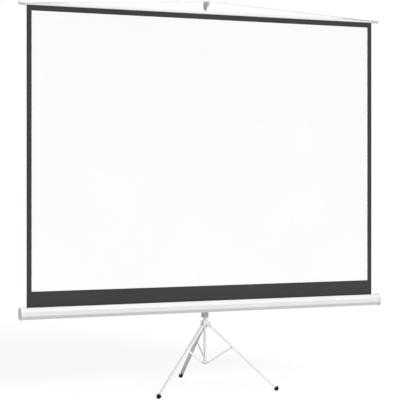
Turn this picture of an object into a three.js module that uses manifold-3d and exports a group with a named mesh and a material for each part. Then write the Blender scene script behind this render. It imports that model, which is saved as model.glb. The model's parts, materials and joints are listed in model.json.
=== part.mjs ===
// Tripod projection screen: a spring-wound cloth in a long case, pulled up and hooked on a telescopic mast
// that stands on three folding legs.
// Millimetres, +Z up, the picture faces -Y, and the origin is on the floor under the middle of the footprint.
import * as THREE from 'three';
import { mergeVertices } from 'three/addons/utils/BufferGeometryUtils.js';
import Module from 'manifold-3d';

const wasm = await Module();
wasm.setup();

// Clearances
const GAP = 0.3;
const RUNNING_GAP = 0.15;

// Cloth
const PICTURE_WIDTH = 2032;
const PICTURE_HEIGHT = 1501;
const SIDE_BORDER = 26;
const TOP_BORDER = 29;
const BOTTOM_LEADER = 84;
const CLOTH_THICKNESS = 0.5;
const CLOTH_TO_MAST = 49;

// Tripod
const LEG_LENGTH = 507.5;
const LEG_SPREAD = THREE.MathUtils.degToRad(47.4);
const LEG_PIVOT_RADIUS = 30;
const LEG_WIDTH = 20;
const LEG_DEPTH = 11;
const LEG_WALL = 1.2;
const LEG_WEB_TO_PIVOT = 6.8;
const LEG_ABOVE_PIVOT = 8;
const LEG_CORNER = 1.6;
const FOOT_RADIUS = 13;
const FOOT_GRIP = 9;
const FOOT_EDGE = 2;
const FOOT_STAND = 11;
const PIN_RADIUS = 2.5;
const PIN_HEAD_RADIUS = 4.2;
const PIN_HEAD = 1.8;

// Hub that the legs fold from
const HUB_RADIUS = 18;
const HUB_CROWN_RADIUS = 26;
const HUB_CROWN_ABOVE_PIVOT = 12;
const HUB_CROWN_HEIGHT = 14;
const HUB_SHOULDER = 10;
const HUB_ABOVE_PIVOT = 4.5;
const HUB_CHEEK_RADIUS = 5;
const HUB_CHEEK_THICKNESS = 3;
const HUB_CHEEK_CORNER = 3;
const BUSH_WALL = 3.2;
const BUSH_FLANGE = 2.4;
const BUSH_FLANGE_HEIGHT = 4;

// Braces and their collar at the foot of the mast
const BRACE_REACH = 168.5;
const BRACE_WIDTH = 12;
const BRACE_THICKNESS = 2.5;
const COLLAR_DROP = 202.5;
const COLLAR_PIVOT_RADIUS = 20;
const COLLAR_WALL = 3.6;
const COLLAR_HEIGHT = 18;
const COLLAR_LUG_THICKNESS = 6;
const RIVET_RADIUS = 2;
const RIVET_HEAD_RADIUS = 3.6;
const RIVET_HEAD = 1.4;

// Mast and extension rod
const MAST_RADIUS = 10;
const MAST_WALL = 1.2;
const MAST_LENGTH = 1097;
const MAST_BELOW_COLLAR = 3;
const PLUG_FLANGE = 3;
const PLUG_SPIGOT = 18;
const ROD_RADIUS = 8;
const ROD_WALL = 1.2;
const ROD_OVERLAP = 200;
const ROD_BUSH_FLANGE = 8;
const TOP_COLLAR_WALL = 5;
const TOP_COLLAR_HEIGHT = 36;
const TOP_COLLAR_LIP = 6;

// Lock knobs
const KNOB_RADIUS = 10;
const KNOB_LOBE = 1.5;
const KNOB_LOBES = 5;
const KNOB_THICKNESS = 11;
const KNOB_STANDOFF = 2;
const STUD_RADIUS = 3;

// Carrier that holds the case on the mast
const CARRIER_ABOVE_HUB = 12;
const CARRIER_WIDTH = 30;
const CARRIER_FRONT = 15;
const CARRIER_BACK = 30;
const CARRIER_CORNER = 5;
const CARRIER_CLAMP_HEIGHT = 38;
const CARRIER_NECK_WIDTH = 38;
const CARRIER_NECK_BACK = 16;
const CARRIER_NECK_HEIGHT = 64;
const SWIVEL_PLATE_WIDTH = 90;
const SWIVEL_PLATE_HEIGHT = 32;
const SWIVEL_PLATE_THICKNESS = 2.5;
const SWIVEL_STUD_RADIUS = 6;
const SWIVEL_STUD_DEPTH = 9;

// Case, with the roller on its axis
const CASE_BEYOND_CLOTH = 41.5;
const CASE_HEIGHT = 62;
const CASE_CHAMFER = 19;
const CASE_WALL = 1.2;
const CASE_SLOT_FRONT = 10;
const CASE_SLOT_BACK = 2;
const CASE_BACK_LIP = 1;
const CASE_AXIS_ABOVE_CARRIER = 71;
const CAP_LENGTH = 15;
const CAP_PROUD = 3;
const CAP_BEVEL = 3;
const CAP_BORE_DEPTH = 9;
const ROLLER_RADIUS = 12;
const ROLLER_WALL = 1.5;
const ROLLER_END_GAP = 8;
const ROLLER_PLUG_DEPTH = 14;
const ROLLER_PLUG_RIM = 2;
const WOUND_CLOTH = 2;
const SPINDLE_RADIUS = 4;
const SPINDLE_LENGTH = 180;
const SPRING_WIRE_RADIUS = 1;
const SPRING_PITCH = 6;
const SPRING_TURNS = 16;

// Slat at the top of the cloth, its bail and the hook
const SLAT_BEYOND_CLOTH = 43;
const SLAT_HEIGHT = 20;
const SLAT_DEPTH = 14;
const SLAT_CORNER = 4;
const SLAT_WALL = 1.4;
const HEM_ROD_RADIUS = 3;
const SLAT_CAP_LENGTH = 36;
const SLAT_CAP_PROUD = 0.8;
const BAIL_RADIUS = 2;
const BAIL_RISE = 61.5;
const BAIL_EYE_WALL = 2.4;
const BAIL_IN_EYE = 9;
const HOOK_WALL = 3.4;
const HOOK_HEIGHT = 44;
const HOOK_EDGE = 2.4;
const HOOK_ROOF = 6;
const HOOK_TOP_ABOVE_BAIL = 10.5;
const HOOK_ARM_WIDTH = 11;
const HOOK_ARM_THICKNESS = 15;
const HOOK_NOSE = 5;
const HOOK_NOSE_RISE = 1;

// Counts of sides on round pieces
const SIDES = 32;
const SMALL_SIDES = 16;
const ARC_STEPS = 6;

// Heights and places that follow from the sizes above
const CLOTH_WIDTH = PICTURE_WIDTH + 2 * SIDE_BORDER;
const CASE_LENGTH = CLOTH_WIDTH + 2 * CASE_BEYOND_CLOTH;
const SLAT_LENGTH = CLOTH_WIDTH + 2 * SLAT_BEYOND_CLOTH;
const LEG_PIVOT_Z = LEG_LENGTH * Math.cos(LEG_SPREAD) + FOOT_STAND;
const HUB_CROWN_Z = LEG_PIVOT_Z + HUB_CROWN_ABOVE_PIVOT;
const HUB_TOP_Z = HUB_CROWN_Z + HUB_CROWN_HEIGHT + HUB_SHOULDER;
const HUB_BOTTOM_Z = LEG_PIVOT_Z + HUB_ABOVE_PIVOT;
const HUB_BORE_RADIUS = MAST_RADIUS + GAP + BUSH_WALL + GAP;
const COLLAR_PIVOT_Z = LEG_PIVOT_Z - COLLAR_DROP;
const COLLAR_BOTTOM_Z = COLLAR_PIVOT_Z - BRACE_WIDTH / 2;
const MAST_BOTTOM_Z = COLLAR_BOTTOM_Z - MAST_BELOW_COLLAR;
const MAST_TOP_Z = MAST_BOTTOM_Z + MAST_LENGTH;
const MAST_BORE_RADIUS = MAST_RADIUS - MAST_WALL;
const ROD_BOTTOM_Z = MAST_TOP_Z - ROD_OVERLAP;
const BRACE_FOOT_RADIUS = LEG_PIVOT_RADIUS + BRACE_REACH * Math.sin(LEG_SPREAD);
const BRACE_RUN = BRACE_FOOT_RADIUS - COLLAR_PIVOT_RADIUS;
const BRACE_RISE = LEG_PIVOT_Z - BRACE_REACH * Math.cos(LEG_SPREAD) - COLLAR_PIVOT_Z;
const BRACE_LENGTH = Math.hypot(BRACE_RUN, BRACE_RISE);
const BRACE_TILT = Math.atan2(BRACE_RUN, BRACE_RISE);
const BRACE_INNER = LEG_WIDTH / 2 + GAP;
const BRACE_OUTER = BRACE_INNER + BRACE_THICKNESS;
const CARRIER_BOTTOM_Z = HUB_TOP_Z + CARRIER_ABOVE_HUB;
const CARRIER_NECK_Z = CARRIER_BOTTOM_Z + CARRIER_CLAMP_HEIGHT;
const WOUND_RADIUS = ROLLER_RADIUS + WOUND_CLOTH;
const CLOTH_Y = -CLOTH_TO_MAST;
const CASE_Y = CLOTH_Y - WOUND_RADIUS;
const CASE_SLOT_END = WOUND_RADIUS + CASE_SLOT_BACK;
const CASE_DEPTH = 2 * (CASE_SLOT_END + CASE_BACK_LIP + CASE_CHAMFER);
const CASE_Z = CARRIER_BOTTOM_Z + CASE_AXIS_ABOVE_CARRIER;
const CASE_TOP_Z = CASE_Z + CASE_HEIGHT / 2;
const CASE_BACK_Y = CASE_Y + CASE_DEPTH / 2;
const CASE_SHELL_HALF = CASE_LENGTH / 2 - CAP_LENGTH - GAP;
const PLATE_FRONT_Y = CASE_BACK_Y + GAP;
const NECK_FRONT_Y = PLATE_FRONT_Y + SWIVEL_PLATE_THICKNESS + GAP;
const ROLLER_HALF = CASE_SHELL_HALF - ROLLER_END_GAP;
const CLOTH_TOP_Z = CASE_TOP_Z + BOTTOM_LEADER + PICTURE_HEIGHT + TOP_BORDER;
const SLAT_MID_Z = CLOTH_TOP_Z + SLAT_HEIGHT / 2;
const SLAT_BODY_HALF = SLAT_LENGTH / 2 - SLAT_CAP_LENGTH - GAP;
const SLAT_CAP_FRONT_Y = CLOTH_Y - SLAT_DEPTH / 2 - SLAT_CAP_PROUD;
const BAIL_EYE_RADIUS = BAIL_RADIUS + GAP + BAIL_EYE_WALL;
const BAIL_Y = SLAT_CAP_FRONT_Y - BAIL_RADIUS - GAP;
const BAIL_TOP_Z = SLAT_MID_Z + BAIL_RISE;
const HOOK_TOP_Z = BAIL_TOP_Z + HOOK_TOP_ABOVE_BAIL;
const HOOK_BOTTOM_Z = HOOK_TOP_Z - HOOK_HEIGHT;
const ROD_TOP_Z = HOOK_TOP_Z - HOOK_ROOF - GAP;

// Materials
const whitePaint = () => new THREE.MeshStandardMaterial({ color: '#f2f2f0', roughness: 0.4, metalness: 0.1 });
const whitePlastic = () => new THREE.MeshStandardMaterial({ color: '#e9e9e7', roughness: 0.5, metalness: 0 });
const greyPlastic = () => new THREE.MeshStandardMaterial({ color: '#8f9091', roughness: 0.55, metalness: 0 });
const blackPlastic = () => new THREE.MeshStandardMaterial({ color: '#232425', roughness: 0.5, metalness: 0 });
const blackRubber = () => new THREE.MeshStandardMaterial({ color: '#161616', roughness: 0.85, metalness: 0 });
const steel = () => new THREE.MeshStandardMaterial({ color: '#b9bbbd', roughness: 0.35, metalness: 0.9 });
const aluminium = () => new THREE.MeshStandardMaterial({ color: '#c9cbcc', roughness: 0.4, metalness: 0.85 });
const screenVinyl = () => new THREE.MeshStandardMaterial({ color: '#fbfbfa', roughness: 0.9, metalness: 0 });

// Solids are joined and cut on meshes whose shared corners are merged and whose flat triangles are dropped.
function toManifold(geometry) {
  const bare = geometry.index ? geometry.toNonIndexed() : geometry.clone();
  bare.deleteAttribute('normal');
  bare.deleteAttribute('uv');
  const merged = mergeVertices(bare, 1e-4);
  const corners = merged.index.array;
  const kept = [];
  for (let i = 0; i < corners.length; i += 3) {
    const [a, b, c] = corners.slice(i, i + 3);
    if (a !== b && b !== c && c !== a) kept.push(a, b, c);
  }
  const vertProperties = new Float32Array(merged.attributes.position.array);
  return new wasm.Manifold(new wasm.Mesh({ numProp: 3, vertProperties, triVerts: new Uint32Array(kept) }));
}

function fromManifold(body) {
  const mesh = body.getMesh();
  const geometry = new THREE.BufferGeometry();
  geometry.setAttribute('position', new THREE.BufferAttribute(mesh.vertProperties, 3));
  geometry.setIndex(new THREE.BufferAttribute(mesh.triVerts, 1));
  geometry.computeVertexNormals();
  return geometry;
}

function join(...geometries) {
  return fromManifold(geometries.map(toManifold).reduce((whole, next) => whole.add(next)));
}

function cut(geometry, ...tools) {
  const whole = toManifold(geometry);
  return fromManifold(tools.map(toManifold).reduce((rest, tool) => rest.subtract(tool), whole));
}

// A round solid about Z from a closed outline of [radius, height] points, listed anticlockwise.
function turned(outline, sides = SIDES) {
  const points = [...outline, outline[0]].map(([radius, height]) => new THREE.Vector2(radius, height));
  return new THREE.LatheGeometry(points, sides).rotateX(Math.PI / 2);
}

function ring(outer, inner, bottom, top, sides = SIDES) {
  return turned([[outer, bottom], [outer, top], [inner, top], [inner, bottom]], sides);
}

function cylinder(radius, bottom, top, sides = SMALL_SIDES) {
  const geometry = new THREE.CylinderGeometry(radius, radius, top - bottom, sides);
  return geometry.rotateX(Math.PI / 2).translate(0, 0, (bottom + top) / 2);
}

// A geometry made about Z, turned so that its axis lies along X or Y.
const alongX = (geometry) => geometry.rotateY(Math.PI / 2);
const alongY = (geometry) => geometry.rotateX(-Math.PI / 2);

function box(x0, x1, y0, y1, z0, z1) {
  const block = new THREE.BoxGeometry(x1 - x0, y1 - y0, z1 - z0);
  return block.translate((x0 + x1) / 2, (y0 + y1) / 2, (z0 + z1) / 2);
}

function prism(points, depth) {
  const shape = new THREE.Shape(points.map(([u, v]) => new THREE.Vector2(u, v)));
  return new THREE.ExtrudeGeometry(shape, { depth, bevelEnabled: false, curveSegments: ARC_STEPS });
}

const AXIS_X = new THREE.Vector3(1, 0, 0);
const AXIS_Y = new THREE.Vector3(0, 1, 0);
const AXIS_Z = new THREE.Vector3(0, 0, 1);

// Prisms of [y, z], [x, z] and [x, y] outlines along the third axis.
function prismX(points, x0, x1) {
  const turn = new THREE.Matrix4().makeBasis(AXIS_Y, AXIS_Z, AXIS_X);
  return prism(points, x1 - x0).applyMatrix4(turn).translate(x0, 0, 0);
}

function prismY(points, y0, y1) {
  const turn = new THREE.Matrix4().makeBasis(AXIS_X, AXIS_Z, AXIS_Y.clone().negate());
  return prism(points, y1 - y0).applyMatrix4(turn).translate(0, y1, 0);
}

function prismZ(points, z0, z1) {
  return prism(points, z1 - z0).translate(0, 0, z0);
}

function arc(u, v, radius, fromDegrees, toDegrees, steps = ARC_STEPS) {
  return Array.from({ length: steps + 1 }, (_, i) => {
    const angle = THREE.MathUtils.degToRad(fromDegrees + ((toDegrees - fromDegrees) * i) / steps);
    return [u + radius * Math.cos(angle), v + radius * Math.sin(angle)];
  });
}

function roundedBox(u0, u1, v0, v1, radius) {
  return [
    ...arc(u1 - radius, v0 + radius, radius, -90, 0, 3),
    ...arc(u1 - radius, v1 - radius, radius, 0, 90, 3),
    ...arc(u0 + radius, v1 - radius, radius, 90, 180, 3),
    ...arc(u0 + radius, v0 + radius, radius, 180, 270, 3),
  ];
}

function octagon(halfWidth, halfHeight, chamfer) {
  const u = halfWidth - chamfer;
  const v = halfHeight - chamfer;
  return [
    [u, halfHeight], [-u, halfHeight], [-halfWidth, v], [-halfWidth, -v],
    [-u, -halfHeight], [u, -halfHeight], [halfWidth, -v], [halfWidth, v],
  ];
}

function addPiece(parent, name, geometry, material) {
  const mesh = new THREE.Mesh(geometry, material);
  mesh.name = name;
  parent.add(mesh);
  return mesh;
}

// Hub: a crowned sleeve on the mast with a pair of cheeks beside the walls of each leg.
const LEGS = [{ name: 'rear', azimuth: 90 }, { name: 'left', azimuth: 210 }, { name: 'right', azimuth: 330 }];
const azimuthOf = (leg) => THREE.MathUtils.degToRad(leg.azimuth);
const CHEEK_INNER = LEG_WIDTH / 2 + GAP;
const CHEEK_OUTER = CHEEK_INNER + HUB_CHEEK_THICKNESS;

function hubCheeks() {
  const top = HUB_CROWN_Z + HUB_CROWN_HEIGHT;
  const outline = [
    [HUB_RADIUS, LEG_PIVOT_Z - HUB_CHEEK_RADIUS],
    ...arc(LEG_PIVOT_RADIUS, LEG_PIVOT_Z, HUB_CHEEK_RADIUS, -90, 30),
    [LEG_PIVOT_RADIUS, HUB_CROWN_Z],
    [LEG_PIVOT_RADIUS, top - HUB_CHEEK_CORNER],
    [LEG_PIVOT_RADIUS - HUB_CHEEK_CORNER, top],
    [MAST_RADIUS, top],
    [MAST_RADIUS, HUB_BOTTOM_Z],
    [HUB_RADIUS, HUB_BOTTOM_Z],
  ];
  const pinHole = alongY(cylinder(PIN_RADIUS + RUNNING_GAP, -2 * CHEEK_OUTER, 2 * CHEEK_OUTER));
  pinHole.translate(LEG_PIVOT_RADIUS, 0, LEG_PIVOT_Z);
  const cheeks = [[-CHEEK_OUTER, -CHEEK_INNER], [CHEEK_INNER, CHEEK_OUTER]];
  return cheeks.map(([y0, y1]) => cut(prismY(outline, y0, y1), pinHole));
}

function legHub() {
  const sleeve = turned([
    [HUB_RADIUS, HUB_BOTTOM_Z],
    [HUB_RADIUS, HUB_CROWN_Z],
    [HUB_CROWN_RADIUS, HUB_CROWN_Z],
    [HUB_CROWN_RADIUS, HUB_CROWN_Z + HUB_CROWN_HEIGHT],
    [HUB_CROWN_RADIUS - HUB_SHOULDER, HUB_TOP_Z],
    [MAST_RADIUS, HUB_TOP_Z],
    [MAST_RADIUS, HUB_BOTTOM_Z],
  ]);
  const cheeks = LEGS.flatMap((leg) => hubCheeks().map((cheek) => cheek.rotateZ(azimuthOf(leg))));
  const bore = cylinder(HUB_BORE_RADIUS, HUB_BOTTOM_Z - GAP, HUB_TOP_Z + GAP, SIDES);
  return cut(join(sleeve, ...cheeks), bore);
}

function hubBush() {
  const inner = MAST_RADIUS + GAP;
  const outer = inner + BUSH_WALL;
  const flangeTop = HUB_BOTTOM_Z - GAP;
  return turned([
    [outer + BUSH_FLANGE, flangeTop - BUSH_FLANGE_HEIGHT],
    [outer + BUSH_FLANGE, flangeTop],
    [outer, flangeTop],
    [outer, HUB_TOP_Z],
    [inner, HUB_TOP_Z],
    [inner, flangeTop - BUSH_FLANGE_HEIGHT],
  ]);
}

// A headed pin about Z: heads lie outside the two ends of its grip.
function headedPin(shankRadius, headRadius, headHeight, bottom, top) {
  return turned([
    [0, bottom - headHeight],
    [headRadius, bottom - headHeight],
    [headRadius, bottom],
    [shankRadius, bottom],
    [shankRadius, top],
    [headRadius, top],
    [headRadius, top + headHeight],
    [0, top + headHeight],
  ], SMALL_SIDES);
}

// Leg: a channel that hangs from its pivot at the local origin, with its web on the outer side (+X).
const LEG_LIP = LEG_WEB_TO_PIVOT - LEG_DEPTH;
const LEG_END = -LEG_LENGTH;

function legChannel() {
  const half = LEG_WIDTH / 2;
  const web = LEG_WEB_TO_PIVOT;
  const outline = [
    [LEG_LIP, -half],
    [web - LEG_CORNER, -half],
    [web, -half + LEG_CORNER],
    [web, half - LEG_CORNER],
    [web - LEG_CORNER, half],
    [LEG_LIP, half],
    [LEG_LIP, half - LEG_WALL],
    [web - LEG_WALL, half - LEG_WALL],
    [web - LEG_WALL, -half + LEG_WALL],
    [LEG_LIP, -half + LEG_WALL],
  ];
  const pinHole = alongY(cylinder(PIN_RADIUS + RUNNING_GAP, -LEG_WIDTH, LEG_WIDTH));
  return cut(prismZ(outline, LEG_END, LEG_ABOVE_PIVOT), pinHole);
}

// Foot: a round rubber shoe about the middle of the leg's end, cut level where it stands on the floor.
function foot() {
  const middle = LEG_WEB_TO_PIVOT - LEG_DEPTH / 2;
  const top = LEG_END + FOOT_GRIP;
  const ball = turned([
    ...arc(0, LEG_END, FOOT_RADIUS, -90, 0),
    [FOOT_RADIUS, top - FOOT_EDGE],
    [FOOT_RADIUS - FOOT_EDGE, top],
    [0, top],
  ]).translate(middle, 0, 0);
  const grip = LEG_WIDTH / 2 + GAP;
  const pocket = box(LEG_LIP - GAP, LEG_WEB_TO_PIVOT + GAP, -grip, grip, LEG_END - GAP, top + GAP);
  const floor = box(0, 2 * LEG_LENGTH, -LEG_LENGTH, LEG_LENGTH, -LEG_LENGTH, 0);
  floor.translate(-LEG_PIVOT_RADIUS, 0, -LEG_PIVOT_Z).rotateY(LEG_SPREAD);
  return cut(ball, pocket, floor);
}

// Brace: a flat strip from its pivot on the collar, at the local origin, up to its pivot on the leg.
function brace() {
  const half = BRACE_WIDTH / 2;
  const outline = [...arc(0, 0, half, 180, 360), ...arc(0, BRACE_LENGTH, half, 0, 180)];
  const holes = [0, BRACE_LENGTH].map((height) => (
    alongY(cylinder(RIVET_RADIUS + RUNNING_GAP, -LEG_WIDTH, LEG_WIDTH)).translate(0, 0, height)
  ));
  return cut(prismY(outline, -BRACE_OUTER, -BRACE_INNER), ...holes);
}

// Rivet that fills the brace's hole by the leg, headed on the outer side.
function braceLegRivet() {
  const rivet = turned([
    [0, BRACE_INNER],
    [RIVET_RADIUS, BRACE_INNER],
    [RIVET_RADIUS, BRACE_OUTER + GAP],
    [RIVET_HEAD_RADIUS, BRACE_OUTER + GAP],
    [RIVET_HEAD_RADIUS, BRACE_OUTER + GAP + RIVET_HEAD],
    [0, BRACE_OUTER + GAP + RIVET_HEAD],
  ], SMALL_SIDES);
  return rivet.rotateX(Math.PI / 2);
}

// Collar: a sleeve at the foot of the mast with a lug beside each brace.
const COLLAR_LUG_OUTER = BRACE_INNER - GAP;
const COLLAR_LUG_INNER = COLLAR_LUG_OUTER - COLLAR_LUG_THICKNESS;

function collarLug() {
  const outline = [
    [MAST_RADIUS, COLLAR_PIVOT_Z - BRACE_WIDTH / 2],
    ...arc(COLLAR_PIVOT_RADIUS, COLLAR_PIVOT_Z, BRACE_WIDTH / 2, -90, 90),
    [MAST_RADIUS, COLLAR_PIVOT_Z + BRACE_WIDTH / 2],
  ];
  const hole = alongY(cylinder(RIVET_RADIUS + RUNNING_GAP, -LEG_WIDTH, LEG_WIDTH));
  hole.translate(COLLAR_PIVOT_RADIUS, 0, COLLAR_PIVOT_Z);
  return cut(prismY(outline, -COLLAR_LUG_OUTER, -COLLAR_LUG_INNER), hole);
}

function braceCollar() {
  const inner = MAST_RADIUS + GAP;
  const sleeve = ring(inner + COLLAR_WALL, inner, COLLAR_BOTTOM_Z, COLLAR_BOTTOM_Z + COLLAR_HEIGHT);
  const lugs = LEGS.map((leg) => collarLug().rotateZ(azimuthOf(leg)));
  const bore = cylinder(inner, COLLAR_BOTTOM_Z - GAP, COLLAR_BOTTOM_Z + COLLAR_HEIGHT + GAP, SIDES);
  return cut(join(sleeve, ...lugs), bore);
}

function braceCollarRivet() {
  const rivet = headedPin(
    RIVET_RADIUS, RIVET_HEAD_RADIUS, RIVET_HEAD, COLLAR_LUG_INNER - GAP, BRACE_OUTER + GAP,
  );
  return rivet.rotateX(Math.PI / 2).translate(COLLAR_PIVOT_RADIUS, 0, COLLAR_PIVOT_Z);
}

// Mast, its end plug, the collar that locks the rod, and the rod.
const ROD_LOCK_Z = MAST_TOP_Z - TOP_COLLAR_HEIGHT / 2;

function mastTube() {
  const tube = ring(MAST_RADIUS, MAST_BORE_RADIUS, MAST_BOTTOM_Z, MAST_TOP_Z);
  const studHole = alongY(cylinder(STUD_RADIUS + GAP, 0, MAST_RADIUS + GAP)).translate(0, 0, ROD_LOCK_Z);
  return cut(tube, studHole);
}

function mastPlug() {
  const spigot = MAST_BORE_RADIUS - GAP;
  const flangeTop = MAST_BOTTOM_Z - GAP;
  return turned([
    [0, flangeTop - PLUG_FLANGE],
    [MAST_RADIUS, flangeTop - PLUG_FLANGE],
    [MAST_RADIUS, flangeTop],
    [spigot, flangeTop],
    [spigot, flangeTop + PLUG_SPIGOT],
    [0, flangeTop + PLUG_SPIGOT],
  ]);
}

function mastTopCollar() {
  const bore = MAST_RADIUS + GAP;
  const outer = bore + TOP_COLLAR_WALL;
  const bottom = MAST_TOP_Z - TOP_COLLAR_HEIGHT;
  const body = turned([
    [outer, bottom],
    [outer, MAST_TOP_Z + TOP_COLLAR_LIP / 2],
    [outer - TOP_COLLAR_LIP / 2, MAST_TOP_Z + TOP_COLLAR_LIP],
    [ROD_RADIUS + GAP, MAST_TOP_Z + TOP_COLLAR_LIP],
    [ROD_RADIUS + GAP, MAST_TOP_Z + GAP],
    [bore, MAST_TOP_Z + GAP],
    [bore, bottom],
  ]);
  const studHole = alongY(cylinder(STUD_RADIUS + GAP, 0, outer + GAP)).translate(0, 0, ROD_LOCK_Z);
  return cut(body, studHole);
}

function extensionRod() {
  const tube = ring(ROD_RADIUS, ROD_RADIUS - ROD_WALL, ROD_BOTTOM_Z, ROD_TOP_Z);
  return cut(tube, hookPinHole());
}

function rodBush() {
  const spigot = ROD_RADIUS - ROD_WALL - GAP;
  const flange = MAST_BORE_RADIUS - GAP;
  const flangeTop = ROD_BOTTOM_Z - GAP;
  return turned([
    [0, flangeTop - ROD_BUSH_FLANGE],
    [flange, flangeTop - ROD_BUSH_FLANGE],
    [flange, flangeTop],
    [spigot, flangeTop],
    [spigot, flangeTop + PLUG_SPIGOT],
    [0, flangeTop + PLUG_SPIGOT],
  ]);
}

// Lock knob: a lobed grip behind the seat, with a stud that reaches forward to what it locks.
function lockKnob(seatY, studTipY, height) {
  const points = Array.from({ length: KNOB_LOBES * 8 }, (_, i) => {
    const angle = (2 * Math.PI * i) / (KNOB_LOBES * 8);
    const radius = KNOB_RADIUS + KNOB_LOBE * Math.cos(KNOB_LOBES * angle);
    return [radius * Math.cos(angle), radius * Math.sin(angle)];
  });
  const gripFront = seatY + KNOB_STANDOFF;
  const grip = prismY(points, gripFront, gripFront + KNOB_THICKNESS);
  const stud = alongY(cylinder(STUD_RADIUS, studTipY, gripFront + KNOB_THICKNESS / 2));
  return join(grip, stud).translate(0, 0, height);
}

// Hook on the top of the rod: a socketed head with an arm whose notch holds the bail.
const HOOK_RADIUS = ROD_RADIUS + GAP + HOOK_WALL;
const HOOK_PIN_Z = HOOK_BOTTOM_Z + HOOK_HEIGHT / 3;
const BAIL_BEND_X = SLAT_LENGTH / 2 - SLAT_CAP_LENGTH - BAIL_IN_EYE;
const BAIL_FALL = (BAIL_RISE / BAIL_BEND_X) * (HOOK_ARM_WIDTH / 2);
const NOTCH_HALF = BAIL_RADIUS + GAP;
const NOTCH_Z = BAIL_TOP_Z - BAIL_RADIUS - BAIL_FALL - GAP;

function hookHead() {
  const head = turned([
    [0, HOOK_BOTTOM_Z],
    [HOOK_RADIUS - HOOK_EDGE, HOOK_BOTTOM_Z],
    [HOOK_RADIUS, HOOK_BOTTOM_Z + 2 * HOOK_EDGE],
    [HOOK_RADIUS, HOOK_TOP_Z - HOOK_EDGE],
    [HOOK_RADIUS - HOOK_EDGE, HOOK_TOP_Z],
    [0, HOOK_TOP_Z],
  ]);
  const noseY = BAIL_Y - NOTCH_HALF - HOOK_NOSE;
  const armBottom = NOTCH_Z - HOOK_ARM_THICKNESS;
  const arm = prismX([
    [0, HOOK_BOTTOM_Z + 2 * HOOK_EDGE],
    [0, HOOK_TOP_Z - HOOK_EDGE],
    [-HOOK_RADIUS, HOOK_TOP_Z - HOOK_EDGE],
    [BAIL_Y + NOTCH_HALF, BAIL_TOP_Z + HOOK_NOSE_RISE],
    [BAIL_Y + NOTCH_HALF, NOTCH_Z],
    [BAIL_Y - NOTCH_HALF, NOTCH_Z],
    [BAIL_Y - NOTCH_HALF, BAIL_TOP_Z + HOOK_NOSE_RISE],
    [noseY + HOOK_NOSE / 2, BAIL_TOP_Z + HOOK_NOSE_RISE],
    [noseY, BAIL_TOP_Z],
    [noseY, armBottom],
  ], -HOOK_ARM_WIDTH / 2, HOOK_ARM_WIDTH / 2);
  const socket = cylinder(ROD_RADIUS + GAP, HOOK_BOTTOM_Z - GAP, ROD_TOP_Z + GAP, SIDES);
  return cut(join(head, arm), socket, hookPinHole());
}

function hookPinHole() {
  const reach = 2 * HOOK_RADIUS;
  return alongX(cylinder(PIN_RADIUS + RUNNING_GAP, -reach, reach)).translate(0, 0, HOOK_PIN_Z);
}

function hookPin() {
  return alongX(cylinder(PIN_RADIUS, -HOOK_RADIUS, HOOK_RADIUS)).translate(0, 0, HOOK_PIN_Z);
}

// Carrier: a clamp block on the mast with a neck forward to the case.
const CASE_LOCK_Z = CARRIER_BOTTOM_Z + CARRIER_CLAMP_HEIGHT / 2;

function caseCarrier() {
  const top = CARRIER_NECK_Z + CARRIER_NECK_HEIGHT;
  const clamp = prismZ(
    roundedBox(-CARRIER_WIDTH / 2, CARRIER_WIDTH / 2, -CARRIER_FRONT, CARRIER_BACK, CARRIER_CORNER),
    CARRIER_BOTTOM_Z, CARRIER_NECK_Z + CARRIER_CORNER,
  );
  const neckHalf = CARRIER_NECK_WIDTH / 2;
  const neck = prismZ(
    roundedBox(-neckHalf, neckHalf, NECK_FRONT_Y, CARRIER_NECK_BACK, CARRIER_CORNER), CARRIER_NECK_Z, top,
  );
  const bore = cylinder(MAST_RADIUS + GAP, CARRIER_BOTTOM_Z - GAP, top + GAP, SIDES);
  const studHole = alongY(cylinder(STUD_RADIUS + GAP, 0, CARRIER_BACK + GAP)).translate(0, 0, CASE_LOCK_Z);
  const swivelEnd = NECK_FRONT_Y + SWIVEL_STUD_DEPTH;
  const swivelHole = alongY(cylinder(SWIVEL_STUD_RADIUS + GAP, NECK_FRONT_Y - GAP, swivelEnd));
  return cut(join(clamp, neck), bore, studHole, swivelHole.translate(0, 0, CASE_Z));
}

function swivelPlate() {
  const plate = prismY(
    roundedBox(-SWIVEL_PLATE_WIDTH / 2, SWIVEL_PLATE_WIDTH / 2,
      CASE_Z - SWIVEL_PLATE_HEIGHT / 2, CASE_Z + SWIVEL_PLATE_HEIGHT / 2, CARRIER_CORNER),
    PLATE_FRONT_Y, PLATE_FRONT_Y + SWIVEL_PLATE_THICKNESS,
  );
  const hole = alongY(cylinder(SWIVEL_STUD_RADIUS + GAP, CASE_Y, 0)).translate(0, 0, CASE_Z);
  return cut(plate, hole);
}

function swivelStud() {
  const stud = alongY(cylinder(SWIVEL_STUD_RADIUS, PLATE_FRONT_Y, NECK_FRONT_Y + SWIVEL_STUD_DEPTH - GAP));
  return stud.translate(0, 0, CASE_Z);
}

// Case: an eight-sided shell, open along a slot in its top for the cloth, closed by two end caps.
function caseShell() {
  const halfDepth = CASE_DEPTH / 2;
  const halfHeight = CASE_HEIGHT / 2;
  const innerChamfer = CASE_CHAMFER - CASE_WALL * (2 - Math.SQRT2);
  const outer = octagon(halfDepth, halfHeight, CASE_CHAMFER);
  const inner = octagon(halfDepth - CASE_WALL, halfHeight - CASE_WALL, innerChamfer);
  const slotFront = WOUND_RADIUS - CASE_SLOT_FRONT;
  const outline = [
    [slotFront, halfHeight],
    ...outer.slice(1),
    outer[0],
    [CASE_SLOT_END, halfHeight],
    [CASE_SLOT_END, halfHeight - CASE_WALL],
    inner[0],
    ...inner.slice(1).reverse(),
    [slotFront, halfHeight - CASE_WALL],
  ];
  return prismX(outline, -CASE_SHELL_HALF, CASE_SHELL_HALF).translate(0, CASE_Y, CASE_Z);
}

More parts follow.
